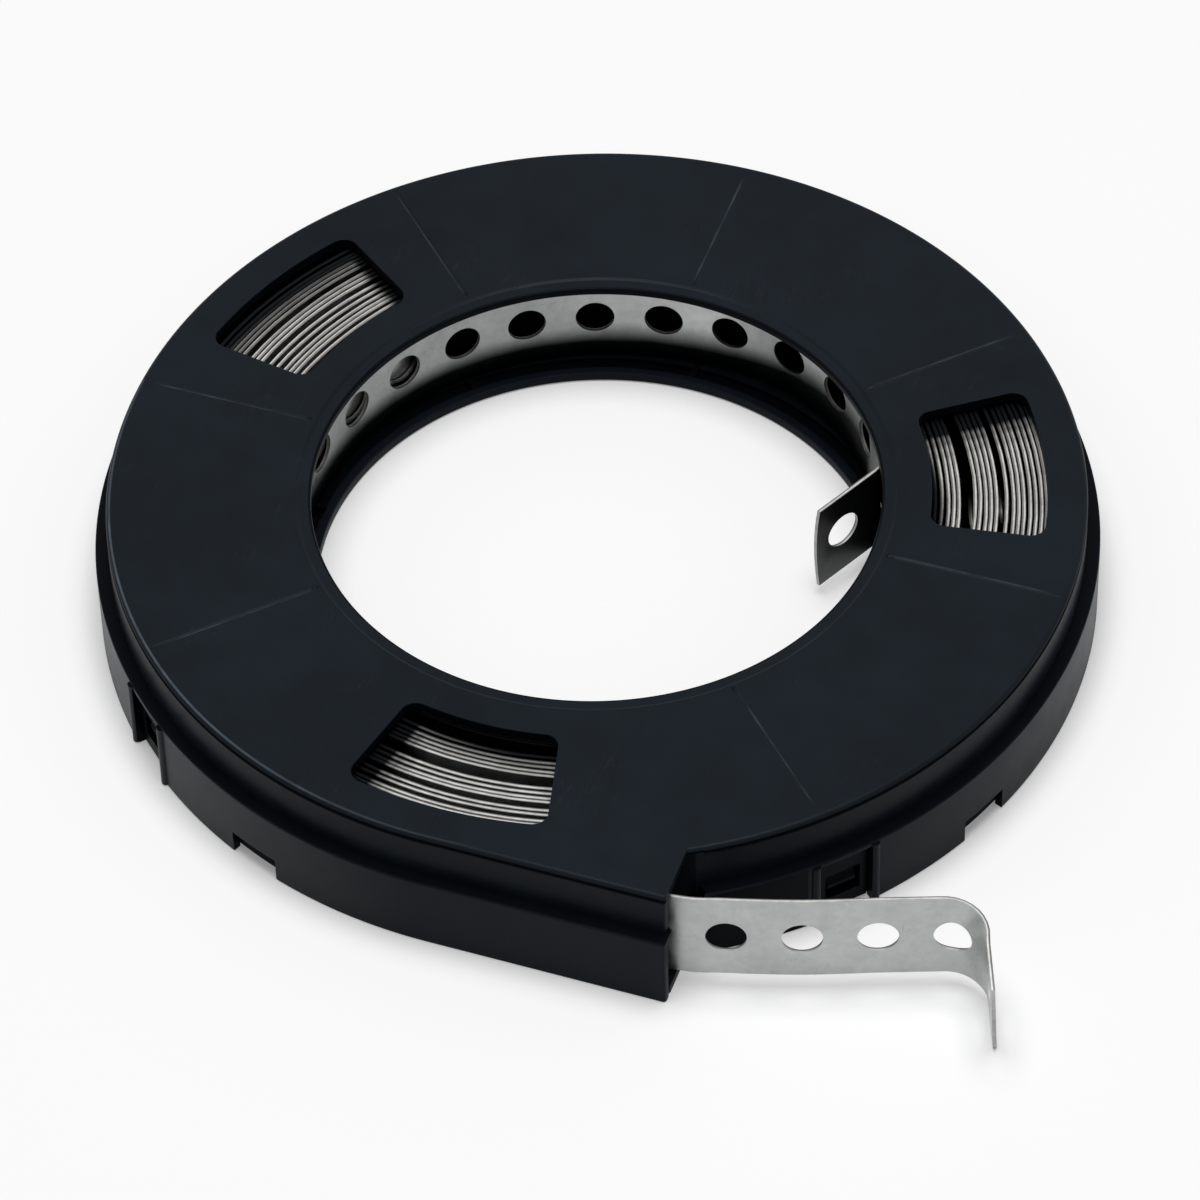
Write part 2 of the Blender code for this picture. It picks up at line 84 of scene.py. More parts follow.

# The part under each window that the painted shadow leaves lit: its radii, and half
# of its angle in radians
UNSHADED_INNER = 52.6
UNSHADED_OUTER = 71.3
UNSHADED_HALF_ANGLE = 0.232

# The free inner end of the strap and its first turn, seen through the bore
INNER_END = (34.3, 7.9)
INNER_FOLD = (40.7, 20.8)
FOLD_SOFTNESS = 3.2
FIRST_TURN = (
    (43.0, 47.9), (56.3, 49.4), (69.5, 50.5), (82.5, 50.4), (96.0, 49.9),
    (109.0, 49.7), (122.0, 49.4), (135.0, 49.2), (148.0, 49.0), (161.0, 48.9),
    (174.0, 48.6), (200.0, 48.8), (230.0, 49.3), (260.0, 49.9), (290.0, 50.3),
    (320.0, 50.6), (345.0, 50.9),
)

# Where the right window shows the turns, in degrees along the coil
SEEN_AT = 382.5

# Radii of the following turns where they pass the right, left and front windows
RIGHT_TURNS = (
    51.3, 52.2, 53.5, 54.55, 55.55, 56.4, 57.2, 59.8, 60.6, 61.45, 62.25, 63.1,
    64.7, 65.8, 66.6, 67.4, 68.4, 69.3, 70.2, 71.0, 71.8, 72.55, 73.25, 73.95,
)
LEFT_TURNS = (
    49.9, 50.8, 51.7, 52.6, 55.25, 56.5, 57.4, 58.22, 59.6, 60.95, 62.6, 63.42,
    64.24, 66.0, 66.82, 67.65, 68.47, 69.25, 70.25, 72.0, 72.7, 73.4, 74.1, 74.8,
)
FRONT_TURNS = (
    50.9, 51.75, 52.6, 55.35, 56.4, 57.25, 58.07, 59.0, 61.5, 62.55, 63.5, 64.32,
    65.9, 66.8, 68.15, 68.97, 69.79, 70.61, 71.3, 72.0, 72.7, 73.35, 74.0,
)

# How far each of the turns stands out from its neighbours' line at the back
BACK_SWELL = (3.6, 3.3, 2.7, 2.0, 1.4, 1.0, 0.7, 0.4)

# The free outer end of the strap
OUTER_LEAVING = ((-128.0, 74.5), (-116.0, 74.7), (-103.0, 74.8), (-90.0, 74.8))
OUTER_RUN = ((20.0, -74.75), (37.9, -74.4), (45.4, -72.7), (56.6, -69.4), (67.1, -65.5))
OUTER_BEND = (82.4, -60.0)
OUTER_TIP = (88.05, -73.95)
OUTER_DROOP = math.radians(8.6)
OUTER_TWIST = math.radians(3.0)

# Pitches of the strap that are meshed finely, counted from each end
PITCHES_IN_BORE = 32
PITCHES_OUTSIDE = 14

# How much wider a punched hole is on its torn side than on its burnished side
TORN = 1.025

# The stage: the floor in millimetres, the lamp in radians and metres, and the
# point that the camera looks at, in millimetres from the ring's centre
FLOOR_REACH = 4000.0
FLOOR_CLEARANCE = 0.02
LAMP_DIRECTION = (math.radians(-70.0), math.radians(89.5))
LAMP_DISTANCE = 1.2
CAMERA_TARGET = Vector((5.11, -13.52, -10.75))


def length(name, description, millimetres):
    return FloatProperty(
        name=name, description=description, default=millimetres * MM,
        min=0.0, precision=5, unit="LENGTH", subtype="DISTANCE",
    )


def angle(name, description, degrees):
    return FloatProperty(
        name=name, description=description, default=math.radians(degrees),
        unit="ROTATION", subtype="ANGLE",
    )


def colour(name, description, value):
    return FloatVectorProperty(
        name=name, description=description, default=value,
        size=3, min=0.0, max=1.0, subtype="COLOR",
    )


def factor(name, description, value):
    return FloatProperty(
        name=name, description=description, default=value, min=0.0, max=1.0,
        subtype="FACTOR",
    )


class StrapSizes(bpy.types.PropertyGroup):
    width: length("Width", "Width of the steel strap", 17.0)
    thickness: length("Thickness", "Thickness of the sheet steel", 0.6)
    hole: length("Hole", "Diameter of the punched holes", 6.3)
    pitch: length("Pitch", "Distance from hole to hole", 11.4)
    edge: length("Edge", "Softening of the sheared edges", 0.12)
    bend: length("Bend", "Radius of the bend near the outer end", 6.5)
    top: length("Top", "Depth of the strap's upper edge below the cover's top", 2.3)
    steel: colour("Steel", "Colour of the zinc coating", (0.415, 0.430, 0.427))
    cut: colour(
        "Cut edge", "Colour of the burnished part of a sheared edge", (0.50, 0.50, 0.485),
    )
    fracture: colour(
        "Fracture", "Colour of the torn part of a sheared edge", (0.20, 0.19, 0.18),
    )
    roughness: factor("Roughness", "Roughness of the zinc coating", 0.36)


class CaseSizes(bpy.types.PropertyGroup):
    ring: length("Ring", "Radius of the cover's upper band", 77.4)
    bore: length("Bore", "Radius of the hole through the case", 45.05)
    sheet: length("Sheet", "Thickness of the cover's flat top", 1.6)
    height: length("Height", "Height of the whole case", 21.5)
    band_height: length(
        "Band height", "Height of the upper band, down to the ledge", 8.2,
    )
    band_wall: length("Band wall", "Wall of the upper band", 1.2)
    ledge: length("Ledge", "How far the skirt stands out from the band", 2.2)
    ledge_thickness: length("Ledge thickness", "Thickness of the ledge", 1.3)
    skirt_wall: length("Skirt wall", "Wall of the skirt", 1.4)
    fillet: length("Top fillet", "Rounding of the cover's upper edge", 0.8)
    spout: length("Spout", "Length of the spout's upper part", 37.8)
    skirt_spout: length("Skirt spout", "Length of the spout's lower part", 38.4)
    window_inner: length("Window inner", "Inner radius of the windows", 52.9)
    window_outer: length("Window outer", "Outer radius of the windows", 71.0)
    window_corner: length("Window corner", "Corner radius of the windows", 2.4)
    window_half: angle("Window half angle", "Half the angle that a window takes", 13.2)
    base_overhang: length(
        "Base overhang", "How far the base is wider than the band", 0.5,
    )
    base_sheet: length("Base sheet", "Thickness of the base", 1.5)
    gap: length("Gap", "Clearance between the pieces", 0.3)
    plastic: colour("Plastic", "Colour of the black plastic", (0.0066, 0.0102, 0.0149))
    # The inside colour is a painted shade, near black, for faces in the case's recesses
    # where shade falls
    inside: colour(
        "Inside", "Colour of the unpolished inner faces", (0.0030, 0.0042, 0.0058),
    )
    roughness: factor("Roughness", "Roughness of the plastic", 0.36)
    shine: factor("Shine", "Specular level of the plastic", 0.07)


class StageSettings(bpy.types.PropertyGroup):
    floor: colour("Floor", "Colour of the floor", (0.90, 0.90, 0.90))
    floor_bounce: colour(
        "Bounce", "Colour that the floor lends the object", (0.40, 0.40, 0.40),
    )
    floor_glow: factor("Glow", "Light added to the floor as the camera sees it", 0.20)
    surround: FloatProperty(
        name="Surround", description="Strength of the even light all round",
        default=0.20, min=0.0, soft_max=2.0,
    )
    lamp: FloatProperty(
        name="Lamp", description="Power of the soft lamp overhead",
        default=10.5, min=0.0, unit="POWER",
    )
    lamp_size: length("Lamp size", "Diameter of the soft lamp", 820.0)
    azimuth: angle("Azimuth", "Direction of the camera round the ring", -69.606)
    elevation: angle("Elevation", "Height of the camera as an angle", 46.887)
    roll: angle("Roll", "Tilt of the camera", -1.615)
    distance: length("Distance", "Distance from the camera to its target", 1006.72)
    lens: FloatProperty(
        name="Lens", description="Focal length of the camera in millimetres",
        default=192.0, min=10.0,
    )


# ---------------------------------------------------------------- plane shapes


def polar(radius, degrees):
    turn = math.radians(degrees)
    return (radius * math.cos(turn), radius * math.sin(turn))


def turned_by(points, degrees):
    turn = math.radians(degrees)
    c, s = math.cos(turn), math.sin(turn)
    return [(x * c - y * s, x * s + y * c, *rest) for x, y, *rest in points]


def arc_angles(start, end, step=1.0):
    steps = max(1, math.ceil(abs(end - start) / step))
    return [start + (end - start) * i / steps for i in range(steps + 1)]


def circle(radius, steps=360):
    return [polar(radius, 360.0 * i / steps) for i in range(steps)]


def at_height(points, height):
    return [(x, y, height) for x, y in points]


def quarter(radius, steps):
    """Offsets of a rounded edge, as distance inwards and distance down."""
    found = []
    for i in range(steps + 1):
        turn = math.radians(90.0 * i / steps)
        found.append((radius * (1 - math.cos(turn)), radius * (1 - math.sin(turn))))
    return found


# --------------------------------------------------------------- mesh building


def mesh_object(name, points, faces, materials=(), indices=None):
    mesh = bpy.data.meshes.new(name)
    mesh.from_pydata([RING_CENTRE + Vector(p) * MM for p in points], [], faces)
    for material in materials:
        mesh.materials.append(material)
    if indices:
        mesh.polygons.foreach_set("material_index", indices)
    mesh.update()
    made = bpy.data.objects.new(name, mesh)
    bpy.context.scene.collection.objects.link(made)
    return made


class Solids:
    """Closed shapes gathered in one mesh, to be joined or cut in one step."""

    def __init__(self, name):
        self.name = name
        self.points = []
        self.faces = []

    def loft(self, loops):
        first = len(self.points)
        count = len(loops[0])
        for loop in loops:
            self.points.extend(loop)
        for row in range(len(loops) - 1):
            low = first + row * count
            for i in range(count):
                j = (i + 1) % count
                self.faces.append((low + i, low + j, low + count + j, low + count + i))
        last = first + (len(loops) - 1) * count
        self.faces.append(tuple(range(first + count - 1, first - 1, -1)))
        self.faces.append(tuple(range(last, last + count)))
        return self

    def prism(self, outline, bottom, top):
        return self.loft([at_height(outline, bottom), at_height(outline, top)])

    def block(self, degrees, inner, outer, width, bottom, top, aside=0.0):
        half = width / 2
        corners = [
            (inner, aside - half), (outer, aside - half),
            (outer, aside + half), (inner, aside + half),
        ]
        return self.prism(turned_by(corners, degrees), bottom, top)

    def ring(self, profile, steps=360):
        first = len(self.points)
        count = len(profile)
        for step in range(steps):
            turn = 360.0 * step / steps
            self.points.extend((*polar(r, turn), z) for r, z in profile)
        for step in range(steps):
            here = first + step * count
            there = first + (step + 1) % steps * count
            for i in range(count):
                j = (i + 1) % count
                self.faces.append((here + i, there + i, there + j, here + j))
        return self

    def made(self):
        made = mesh_object(self.name, self.points, self.faces)
        volume = 0.0
        mesh = made.data
        mesh.calc_loop_triangles()
        for triangle in mesh.loop_triangles:
            a, b, c = (mesh.vertices[v].co for v in triangle.vertices)
            volume += a.dot(b.cross(c))
        if volume < 0:
            mesh.flip_normals()
        return made


def boolean(target, solids, operation):
    cutter = solids.made()
    cutter.hide_render = True
    step = target.modifiers.new(cutter.name, "BOOLEAN")
    step.operation = operation
    step.solver = "EXACT"
    step.object = cutter


def cut(target, solids):
    boolean(target, solids, "DIFFERENCE")


def join(target, solids):
    boolean(target, solids, "UNION")


def settled(target, materials, sharp_degrees, is_inner):
    """Applies the steps, drops the cutters, shades the mesh and sorts its faces."""
    graph = bpy.context.evaluated_depsgraph_get()
    mesh = bpy.data.meshes.new_from_object(target.evaluated_get(graph))
    cutters = [step.object for step in target.modifiers if step.type == "BOOLEAN"]
    target.modifiers.clear()
    target.data = mesh
    for cutter in cutters:
        bpy.data.objects.remove(cutter, do_unlink=True)
    mesh.materials.clear()
    for material in materials:
        mesh.materials.append(material)
    indices = []
    for face in mesh.polygons:
        x, y, z = (face.center - RING_CENTRE) / MM
        indices.append(1 if is_inner(x, y, z, face.normal) else 0)
    mesh.polygons.foreach_set("material_index", indices)
    mesh.polygons.foreach_set("use_smooth", [True] * len(mesh.polygons))
    mesh.set_sharp_from_angle(angle=math.radians(sharp_degrees))
    normals = target.modifiers.new("flat faces stay flat", "WEIGHTED_NORMAL")
    normals.keep_sharp = True
    normals.weight = 90
    if not mesh.polygons:
        raise RuntimeError(f"{target.name} came out empty")


# ------------------------------------------------------------------- materials


class Graph:
    """A node tree, with short calls for the nodes that the materials share."""

    def __init__(self, tree):
        self.tree = tree

    def node(self, kind, **settings):
        made = self.tree.nodes.new(kind)
        for name, value in settings.items():
            setattr(made, name, value)
        return made

    def feed(self, socket, value):
        if isinstance(value, bpy.types.NodeSocket):
            self.tree.links.new(value, socket)
        elif value is not None:
            socket.default_value = value

    def maths(self, operation, first, second=None, clamp=False):
        node = self.node("ShaderNodeMath", operation=operation, use_clamp=clamp)
        self.feed(node.inputs[0], first)
        self.feed(node.inputs[1], second)
        return node.outputs[0]

    def plus(self, first, second, clamp=False):
        return self.maths("ADD", first, second, clamp)

    def minus(self, first, second, clamp=False):
        return self.maths("SUBTRACT", first, second, clamp)

    def over(self, first, second, clamp=False):
        return self.maths("DIVIDE", first, second, clamp)

    def larger(self, first, second):
        return self.maths("MAXIMUM", first, second)

    def times(self, first, *others, clamp=False):
        for other in others:
            first = self.maths("MULTIPLY", first, other, clamp)
        return first

    def vector(self, operation, first, second=None):
        node = self.node("ShaderNodeVectorMath", operation=operation)
        self.feed(node.inputs[0], first)
        self.feed(node.inputs[1], second)
        return node.outputs["Value" if operation == "LENGTH" else "Vector"]

    def noise(self, place, scale, detail, roughness=0.5):
        node = self.node("ShaderNodeTexNoise")
        for label, value in (
            ("Vector", place), ("Scale", scale),
            ("Detail", detail), ("Roughness", roughness),
        ):
            self.feed(node.inputs[label], value)
        return node.outputs["Fac"]

    def place(self):
        """Where the surface is, with its height over the floor as Z."""
        return self.node("ShaderNodeTexCoord").outputs["Object"]

    def parts(self, vector):
        node = self.node("ShaderNodeSeparateXYZ")
        self.feed(node.inputs[0], vector)
        return node.outputs

    def round_ring(self):
        """The place measured from the ring's axis, and the distance from it."""
        flat = self.vector("MULTIPLY", self.place(), (1.0, 1.0, 0.0))
        place = self.vector("SUBTRACT", flat, (RING_CENTRE.x, RING_CENTRE.y, 0.0))
        return place, self.vector("LENGTH", place)

    def turn(self, place):
        """The angle round the ring's axis, in radians."""
        parts = self.parts(place)
        return self.maths("ARCTAN2", parts["Y"], parts["X"])

    def between(self, value, low, high, soft):
        """1 between two limits, falling to 0 over a soft width at each."""
        above = self.over(self.minus(value, low), soft, clamp=True)
        below = self.over(self.minus(high, value), soft, clamp=True)
        return self.times(above, below)

    def placed(self, group, **values):
        node = self.node("ShaderNodeGroup", node_tree=group)
        for label, value in values.items():
            self.feed(node.inputs[label], value)
        return node.outputs[0]

    def mixed(self, share, first, second):
        """A colour between two colours, by a share."""
        node = self.node("ShaderNodeMix", data_type="RGBA")
        for index, value in ((0, share), (6, first), (7, second)):
            self.feed(
                node.inputs[index],
                (*value, 1.0) if isinstance(value, tuple) else value,
            )
        return node.outputs[2]

    def toned(self, base, tone):
        """A colour made lighter or darker by a value round 1."""
        node = self.node("ShaderNodeVectorMath", operation="SCALE")
        self.feed(node.inputs[0], base)
        self.feed(node.inputs["Scale"], tone)
        return node.outputs[0]


def shared(name, output, **inputs):
    """Turns a function that wires an effect into one that gives its node group."""

    def wrap(wire):
        @functools.wraps(wire)
        def group():
            if name in bpy.data.node_groups:
                return bpy.data.node_groups[name]
            tree = bpy.data.node_groups.new(name, "ShaderNodeTree")
            kind = {"socket_type": "NodeSocketFloat"}
            for label, value in inputs.items():
                socket = tree.interface.new_socket(label, in_out="INPUT", **kind)
                socket.default_value = value
            tree.interface.new_socket(output, in_out="OUTPUT", **kind)
            given = tree.nodes.new("NodeGroupInput").outputs
            result = tree.nodes.new("NodeGroupOutput").inputs[output]
            tree.links.new(wire(Graph(tree), given), result)
            return tree

        return group

    return wrap


@shared("Soft patches", "Tone", Scale=30.0, Amount=0.2)
def soft_patches(graph, given):
    """Broad soft patches: a value round 1 that tones a colour up and down."""
    place = graph.place()
    broad = graph.noise(place, given["Scale"], 2.0)
    finer = graph.noise(place, graph.times(given["Scale"], 4.3), 3.0)
    swing = graph.minus(graph.plus(graph.times(broad, 1.3), finer), 1.15)
    return graph.plus(graph.times(swing, given["Amount"]), 1.0)


@shared("Fine grain", "Height", Scale=3000.0)
def fine_grain(graph, given):
    """Fine grain of a moulded or rolled surface, as a height."""
    place = graph.place()
    fine = graph.noise(place, given["Scale"], 2.0, 0.6)
    coarse = graph.noise(place, graph.times(given["Scale"], 0.11), 2.0)
    return graph.plus(fine, graph.times(coarse, 0.8))


@shared("Scuffs", "Mask", Scale=60.0, Amount=0.5)
def scuffs(graph, given):
    """Hair-fine scuffs and small rubbed spots, as a mask from 0 to 1."""
    place = graph.place()
    drawn_out = graph.vector("MULTIPLY", place, (9.0, 1.0, 3.0))
    lines = graph.noise(drawn_out, given["Scale"], 3.0)
    off_line = graph.maths("ABSOLUTE", graph.minus(lines, 0.5))
    thin = graph.minus(1.0, graph.times(off_line, 60.0), clamp=True)
    where = graph.noise(place, given["Scale"], 1.0)
    patch = graph.times(graph.minus(where, 0.56), 8.0, clamp=True)
    return graph.times(thin, patch, given["Amount"])


@shared("Dust on the skirt", "Share", Top=0.0150)
def painted_skirt_light(graph, given):
    """Painted light on the skirt's front left side, as a share from 0 to 1."""
    place, reach = graph.round_ring()
    here = graph.between(graph.turn(place), *SKIRT_LIGHT_TURN)
    under = graph.between(graph.parts(graph.place())["Z"], -1.0, given["Top"], 0.2 * MM)
    outside = graph.between(reach, 76.8 * MM, 1.0, 0.2 * MM)
    uneven = graph.noise(graph.place(), 260.0, 3.0)
    uneven = graph.plus(graph.times(uneven, 0.5), 0.62, clamp=True)
    return graph.times(here, under, outside, uneven)


@shared("Rubbed top edge", "Share", Edge=0.0774, Width=0.0008)
def painted_edge_highlight(graph, given):
    """A painted highlight along the top edge on the front left, as a share from 0 to 1.
    """
    place, reach = graph.round_ring()
    here = graph.between(graph.turn(place), *EDGE_HIGHLIGHT_TURN)
    depth = graph.over(graph.minus(given["Edge"], reach), given["Width"])
    line = graph.between(depth, 0.40, 1.00, 0.20)
    uneven = graph.plus(graph.noise(graph.place(), 320.0, 3.0), 0.25, clamp=True)
    return graph.times(here, line, uneven)


@shared("Rubbed moulded lines", "Share", Strength=0.36)
def painted_line_highlights(graph, given):
    """A painted highlight on one side of each moulded line, as a share from 0 to 1."""
    place, reach = graph.round_ring()
    turn = graph.turn(place)
    spacing = 2 * math.pi / RIB_COUNT
    number = graph.over(turn, spacing)
    aside = graph.minus(number, graph.maths("ROUND", number))
    aside = graph.times(aside, spacing, reach)
    line = graph.between(aside, 0.04 * MM, 0.46 * MM, 0.12 * MM)
    along = graph.between(reach, 48.2 * MM, 75.0 * MM, 3.0 * MM)
    uneven = graph.noise(graph.place(), 180.0, 3.0)
    uneven = graph.times(graph.minus(uneven, 0.30), 2.6, clamp=True)
    clear = graph.minus(1.0, graph.between(turn, *FRONT_WINDOW_TURN))
    return graph.times(line, along, uneven, clear, given["Strength"])


@shared("Oil on the turns", "Share", Top=0.0095, Fade=0.0050)
def painted_turn_shade(graph, given):
    """Painted shade on the turns inside the case, darker towards the bottom, as a share
    from 0 to 1.
    """
    _, reach = graph.round_ring()
    place = graph.place()
    axis = graph.parts(place)

    # The painted shade reaches higher towards the right, and also behind the first turn
    # there
    top = graph.plus(graph.times(graph.larger(axis["X"], 0.0), 0.14), given["Top"])
    top = graph.plus(top, graph.times(graph.noise(place, 120.0, 2.0), 0.8 * MM))
    right = graph.times(graph.minus(axis["X"], 3.0 * MM), 90.0, clamp=True)
    more = graph.minus(graph.times(right, 12.2 * MM), 4.0 * MM)
    behind = graph.between(reach, 50.5 * MM, 76.5 * MM, 0.6 * MM)
    top = graph.plus(top, graph.times(behind, more))
    low = graph.over(graph.minus(top, axis["Z"]), given["Fade"], clamp=True)
    low = graph.times(low, graph.between(reach, 46.2 * MM, 77.5 * MM, 1.6 * MM))

    # A light painted shade on the first turn, and a deeper one on the inner end
    film = graph.times(graph.between(reach, 43.0 * MM, 49.7 * MM, 0.6 * MM), 0.30)
    end = graph.times(graph.between(reach, 20.0 * MM, 47.8 * MM, 1.6 * MM), 0.80)
    end = graph.times(end, graph.between(axis["X"], 15.0 * MM, 1.0, 1.0 * MM))
    return graph.larger(graph.larger(low, film), end)


@shared("Dust under the windows' edges", "Share")
def painted_window_shadow(graph, given):
    """Painted shadow on the turns under one side of each window, as a share from 0 to 1.
    """
    place, reach = graph.round_ring()
    clear = 0.0
    for shift in WINDOW_SHADOW_REACHES:
        x, y = polar(shift * MM, WINDOW_SHADOW_SIDE)
        moved = graph.vector("ADD", place, (x, y, 0.0))
        distance = graph.vector("LENGTH", moved)
        across = graph.between(distance, UNSHADED_INNER * MM, UNSHADED_OUTER * MM, 0.9 * MM)
        turn = graph.turn(moved)
        along = 0.0
        for degrees in WINDOW_ANGLES:
            middle = math.radians(degrees)
            here = graph.between(
                turn, middle - UNSHADED_HALF_ANGLE, middle + UNSHADED_HALF_ANGLE, 0.016,
            )
            along = graph.plus(along, here, clamp=True)
        unshaded = graph.times(across, along, 1 / len(WINDOW_SHADOW_REACHES))
        clear = graph.plus(clear, unshaded)
    inside = graph.between(reach, 50.0 * MM, 76.0 * MM, 0.6 * MM)
    return graph.times(graph.minus(1.0, clear, clamp=True), inside)


class Paint:
    """A material with a Principled shader, fed from a graph."""

    def __init__(self, name):
        self.material = bpy.data.materials.new(name)
        self.material.use_nodes = True
        self.graph = Graph(self.material.node_tree)
        self.shader = self.material.node_tree.nodes["Principled BSDF"]

    def set(self, **values):
        """Feeds the shader's sockets, named with _ for a space."""
        for label, value in values.items():
            self.graph.feed(self.shader.inputs[label.replace("_", " ")], value)

    def rough(self, scale, amount, base, marks=None, more=0.0):
        """Roughness in soft patches, and higher where there are marks."""
        graph = self.graph
        rough = graph.placed(soft_patches(), Scale=scale, Amount=amount)
        rough = graph.times(rough, base)
        if marks:
            rough = graph.plus(rough, graph.times(marks, more), clamp=True)
        self.set(Roughness=rough)

    def bump(self, scale, distance):
        bump = self.graph.node("ShaderNodeBump")
        self.graph.feed(bump.inputs["Strength"], 1.0)
        self.graph.feed(bump.inputs["Distance"], distance)
        self.graph.feed(
            bump.inputs["Height"], self.graph.placed(fine_grain(), Scale=scale),
        )
        self.set(Normal=bump.outputs["Normal"])


def black_plastic(name, case, value, shine, patches, scuffed, used=False):
    """Moulded black plastic with a faint satin grain and a few rubbed marks, and on the
    cover painted light on the skirt and painted highlights on the top edge and moulded
    lines.
    """
    paint = Paint(name)
    graph = paint.graph
    tone = graph.placed(soft_patches(), Scale=34.0, Amount=patches)
    marks = graph.placed(scuffs(), Scale=90.0, Amount=scuffed)
    body = graph.mixed(marks, graph.toned(tuple(value), tone), (0.030, 0.033, 0.036))
    if used:
        top = (case.height - case.band_height - 0.4) * MM
        # Painted light: the skirt's front left side is made paler, as if lit from the
        # left
        side = graph.placed(painted_skirt_light(), Top=top)
        body = graph.mixed(side, body, (0.052, 0.058, 0.065))
        # Painted highlights: a pale bluish line on the top fillet and on one side of each
        # moulded line
        edge = graph.placed(painted_edge_highlight(), Edge=case.ring * MM, Width=case.fillet * MM)
        edge = graph.larger(edge, graph.placed(painted_line_highlights()))
        body = graph.mixed(edge, body, (0.095, 0.120, 0.145))
    paint.rough(55.0, 0.35, case.roughness, marks, 0.15)
    paint.set(Base_Color=body, Specular_IOR_Level=shine, IOR=1.45)
    paint.bump(2600.0, 0.01 * MM)
    return paint.material


def zinc(name, strap):
    """Hot-dip zinc on rolled steel: cloudy tone, small spangle, marks, and painted shade
    low in the case and under the windows' edges.
    """
    paint = Paint(name)
    graph = paint.graph
    tone = graph.placed(soft_patches(), Scale=140.0, Amount=0.22)
    flakes = graph.node("ShaderNodeTexVoronoi")
    graph.feed(flakes.inputs["Scale"], 900.0)
    graph.feed(flakes.inputs["Vector"], graph.place())
    facet = graph.node("ShaderNodeSeparateColor")
    graph.feed(facet.inputs[0], flakes.outputs["Color"])
    spangle = graph.times(graph.minus(facet.outputs[0], 0.5), 0.07)
    marks = graph.placed(scuffs(), Scale=160.0, Amount=0.6)
    body = graph.toned(tuple(strap.steel), graph.plus(tone, spangle))
    body = graph.mixed(marks, body, (0.22, 0.22, 0.21))
    painted_shade = graph.larger(graph.placed(painted_turn_shade()), graph.placed(painted_window_shadow()))
    paint.rough(210.0, 0.5, strap.roughness, marks, 0.2)
    # Painted shade: the zinc goes near black low in the case, on the inner end and under
    # the windows' edges
    paint.set(Base_Color=graph.mixed(painted_shade, body, (0.006, 0.007, 0.008)), Metallic=1.0)
    paint.bump(1800.0, 0.008 * MM)
    return paint.material


def sheared(name, value):
    """One strip of the sheared long edges and punched hole walls, with painted shadow
    under the windows' edges.
    """
    paint = Paint(name)
    graph = paint.graph
    tone = graph.placed(soft_patches(), Scale=260.0, Amount=0.5)
    body = graph.toned(tuple(value), tone)
    # Painted shadow: the edges go near black under one side of each window
    body = graph.mixed(graph.placed(painted_window_shadow()), body, (0.004, 0.005, 0.006))
    paint.rough(400.0, 0.4, 0.55)
    paint.set(Base_Color=body, Metallic=0.6, Specular_IOR_Level=0.1)
    paint.bump(1400.0, 0.02 * MM)
    return paint.material


# ------------------------------------------------------------------------ case


class Case:
    """The case's sizes in millimetres, with the outlines that its pieces share."""

    def __init__(self, sizes):
        for name in CaseSizes.__annotations__:
            value = getattr(sizes, name)
            plain = name in ("plastic", "inside", "roughness", "shine", "window_half")
            setattr(self, name, value if plain else value / MM)
        self.window_half = math.degrees(sizes.window_half)
        self.bottom = -self.height
        self.ledge_under = -self.band_height - self.ledge_thickness
        self.tongue_width = 9.0 - 2 * self.gap
        self.groove_top = -self.fillet + 0.15

    def outline(self, offset, spout, corner=0.5):
        """Ring and spout in plan, grown outwards by the offset."""
        radius = self.ring + offset
        start = -math.degrees(math.acos(spout / radius))
        points = [polar(radius, a) for a in arc_angles(start, 270.0)]
        cx, cy = spout - corner, -radius + corner
        for turn in arc_angles(-90.0, 0.0, 18.0):
            x, y = polar(corner, turn)
            points.append((cx + x, cy + y))
        return points

    def room(self, offset, outer_offset, spout):
        """The space inside the wall in plan, open through the mouth."""
        radius = self.ring + offset
        outer = self.ring + outer_offset
        reach = spout + 3 * self.gap
        start = -math.degrees(math.acos(reach / outer))
        mouth = -math.sqrt(outer**2 - reach**2) - self.gap
        points = [polar(radius, a) for a in arc_angles(start, 270.0)]
        return points + [(spout + 3, -radius), (spout + 3, mouth)]

    def window(self, middle, grown):
        """A window in plan, its corners rounded, grown outwards all round."""
        low = middle - self.window_half
        high = middle + self.window_half
        corner = self.window_corner

        def rounded(radius, degrees, turn, inward, sideways):
            centre = radius + inward * corner
            shift = math.degrees(corner / centre)
            cx, cy = polar(centre, degrees + sideways * shift)
            found = []
            for step in arc_angles(turn, turn + 90.0, 10.0):
                x, y = polar(corner + grown, step)
                found.append((cx + x, cy + y))
            return found

        outer = self.window_outer + grown
        inner = self.window_inner - grown
        points = rounded(self.window_outer, low, low - 90, -1, 1)
        inset = math.degrees(corner / self.window_outer)
        points += [polar(outer, a) for a in arc_angles(low + inset, high - inset)[1:-1]]
        points += rounded(self.window_outer, high, high, -1, -1)
        points += rounded(self.window_inner, high, high + 90, 1, -1)
        inset = math.degrees(corner / self.window_inner)
        points += [polar(inner, a) for a in arc_angles(high - inset, low + inset)[1:-1]]
        points += rounded(self.window_inner, low, low + 180, 1, 1)
        return points


def latch_catch(case, solids, degrees):
    """A finger under the band, with a wedge that sits in the tongue's slot."""
    inner = case.ring - case.band_wall + 0.15
    outer = case.ring - 0.1 - case.gap
    reach = case.ring + 0.55
    half = 2.4
    side = [
        (inner, -case.band_height), (outer, -case.band_height), (outer, -14.0),
        (reach - 0.2, -15.6), (reach, -15.9), (reach, -16.6), (reach - 0.15, -16.8),
        (inner, -16.8),
    ]
    loops = []
    for y in (-half, half):
        loops.append(turned_by([(x, y, z) for x, z in side], degrees))
    solids.loft(loops)


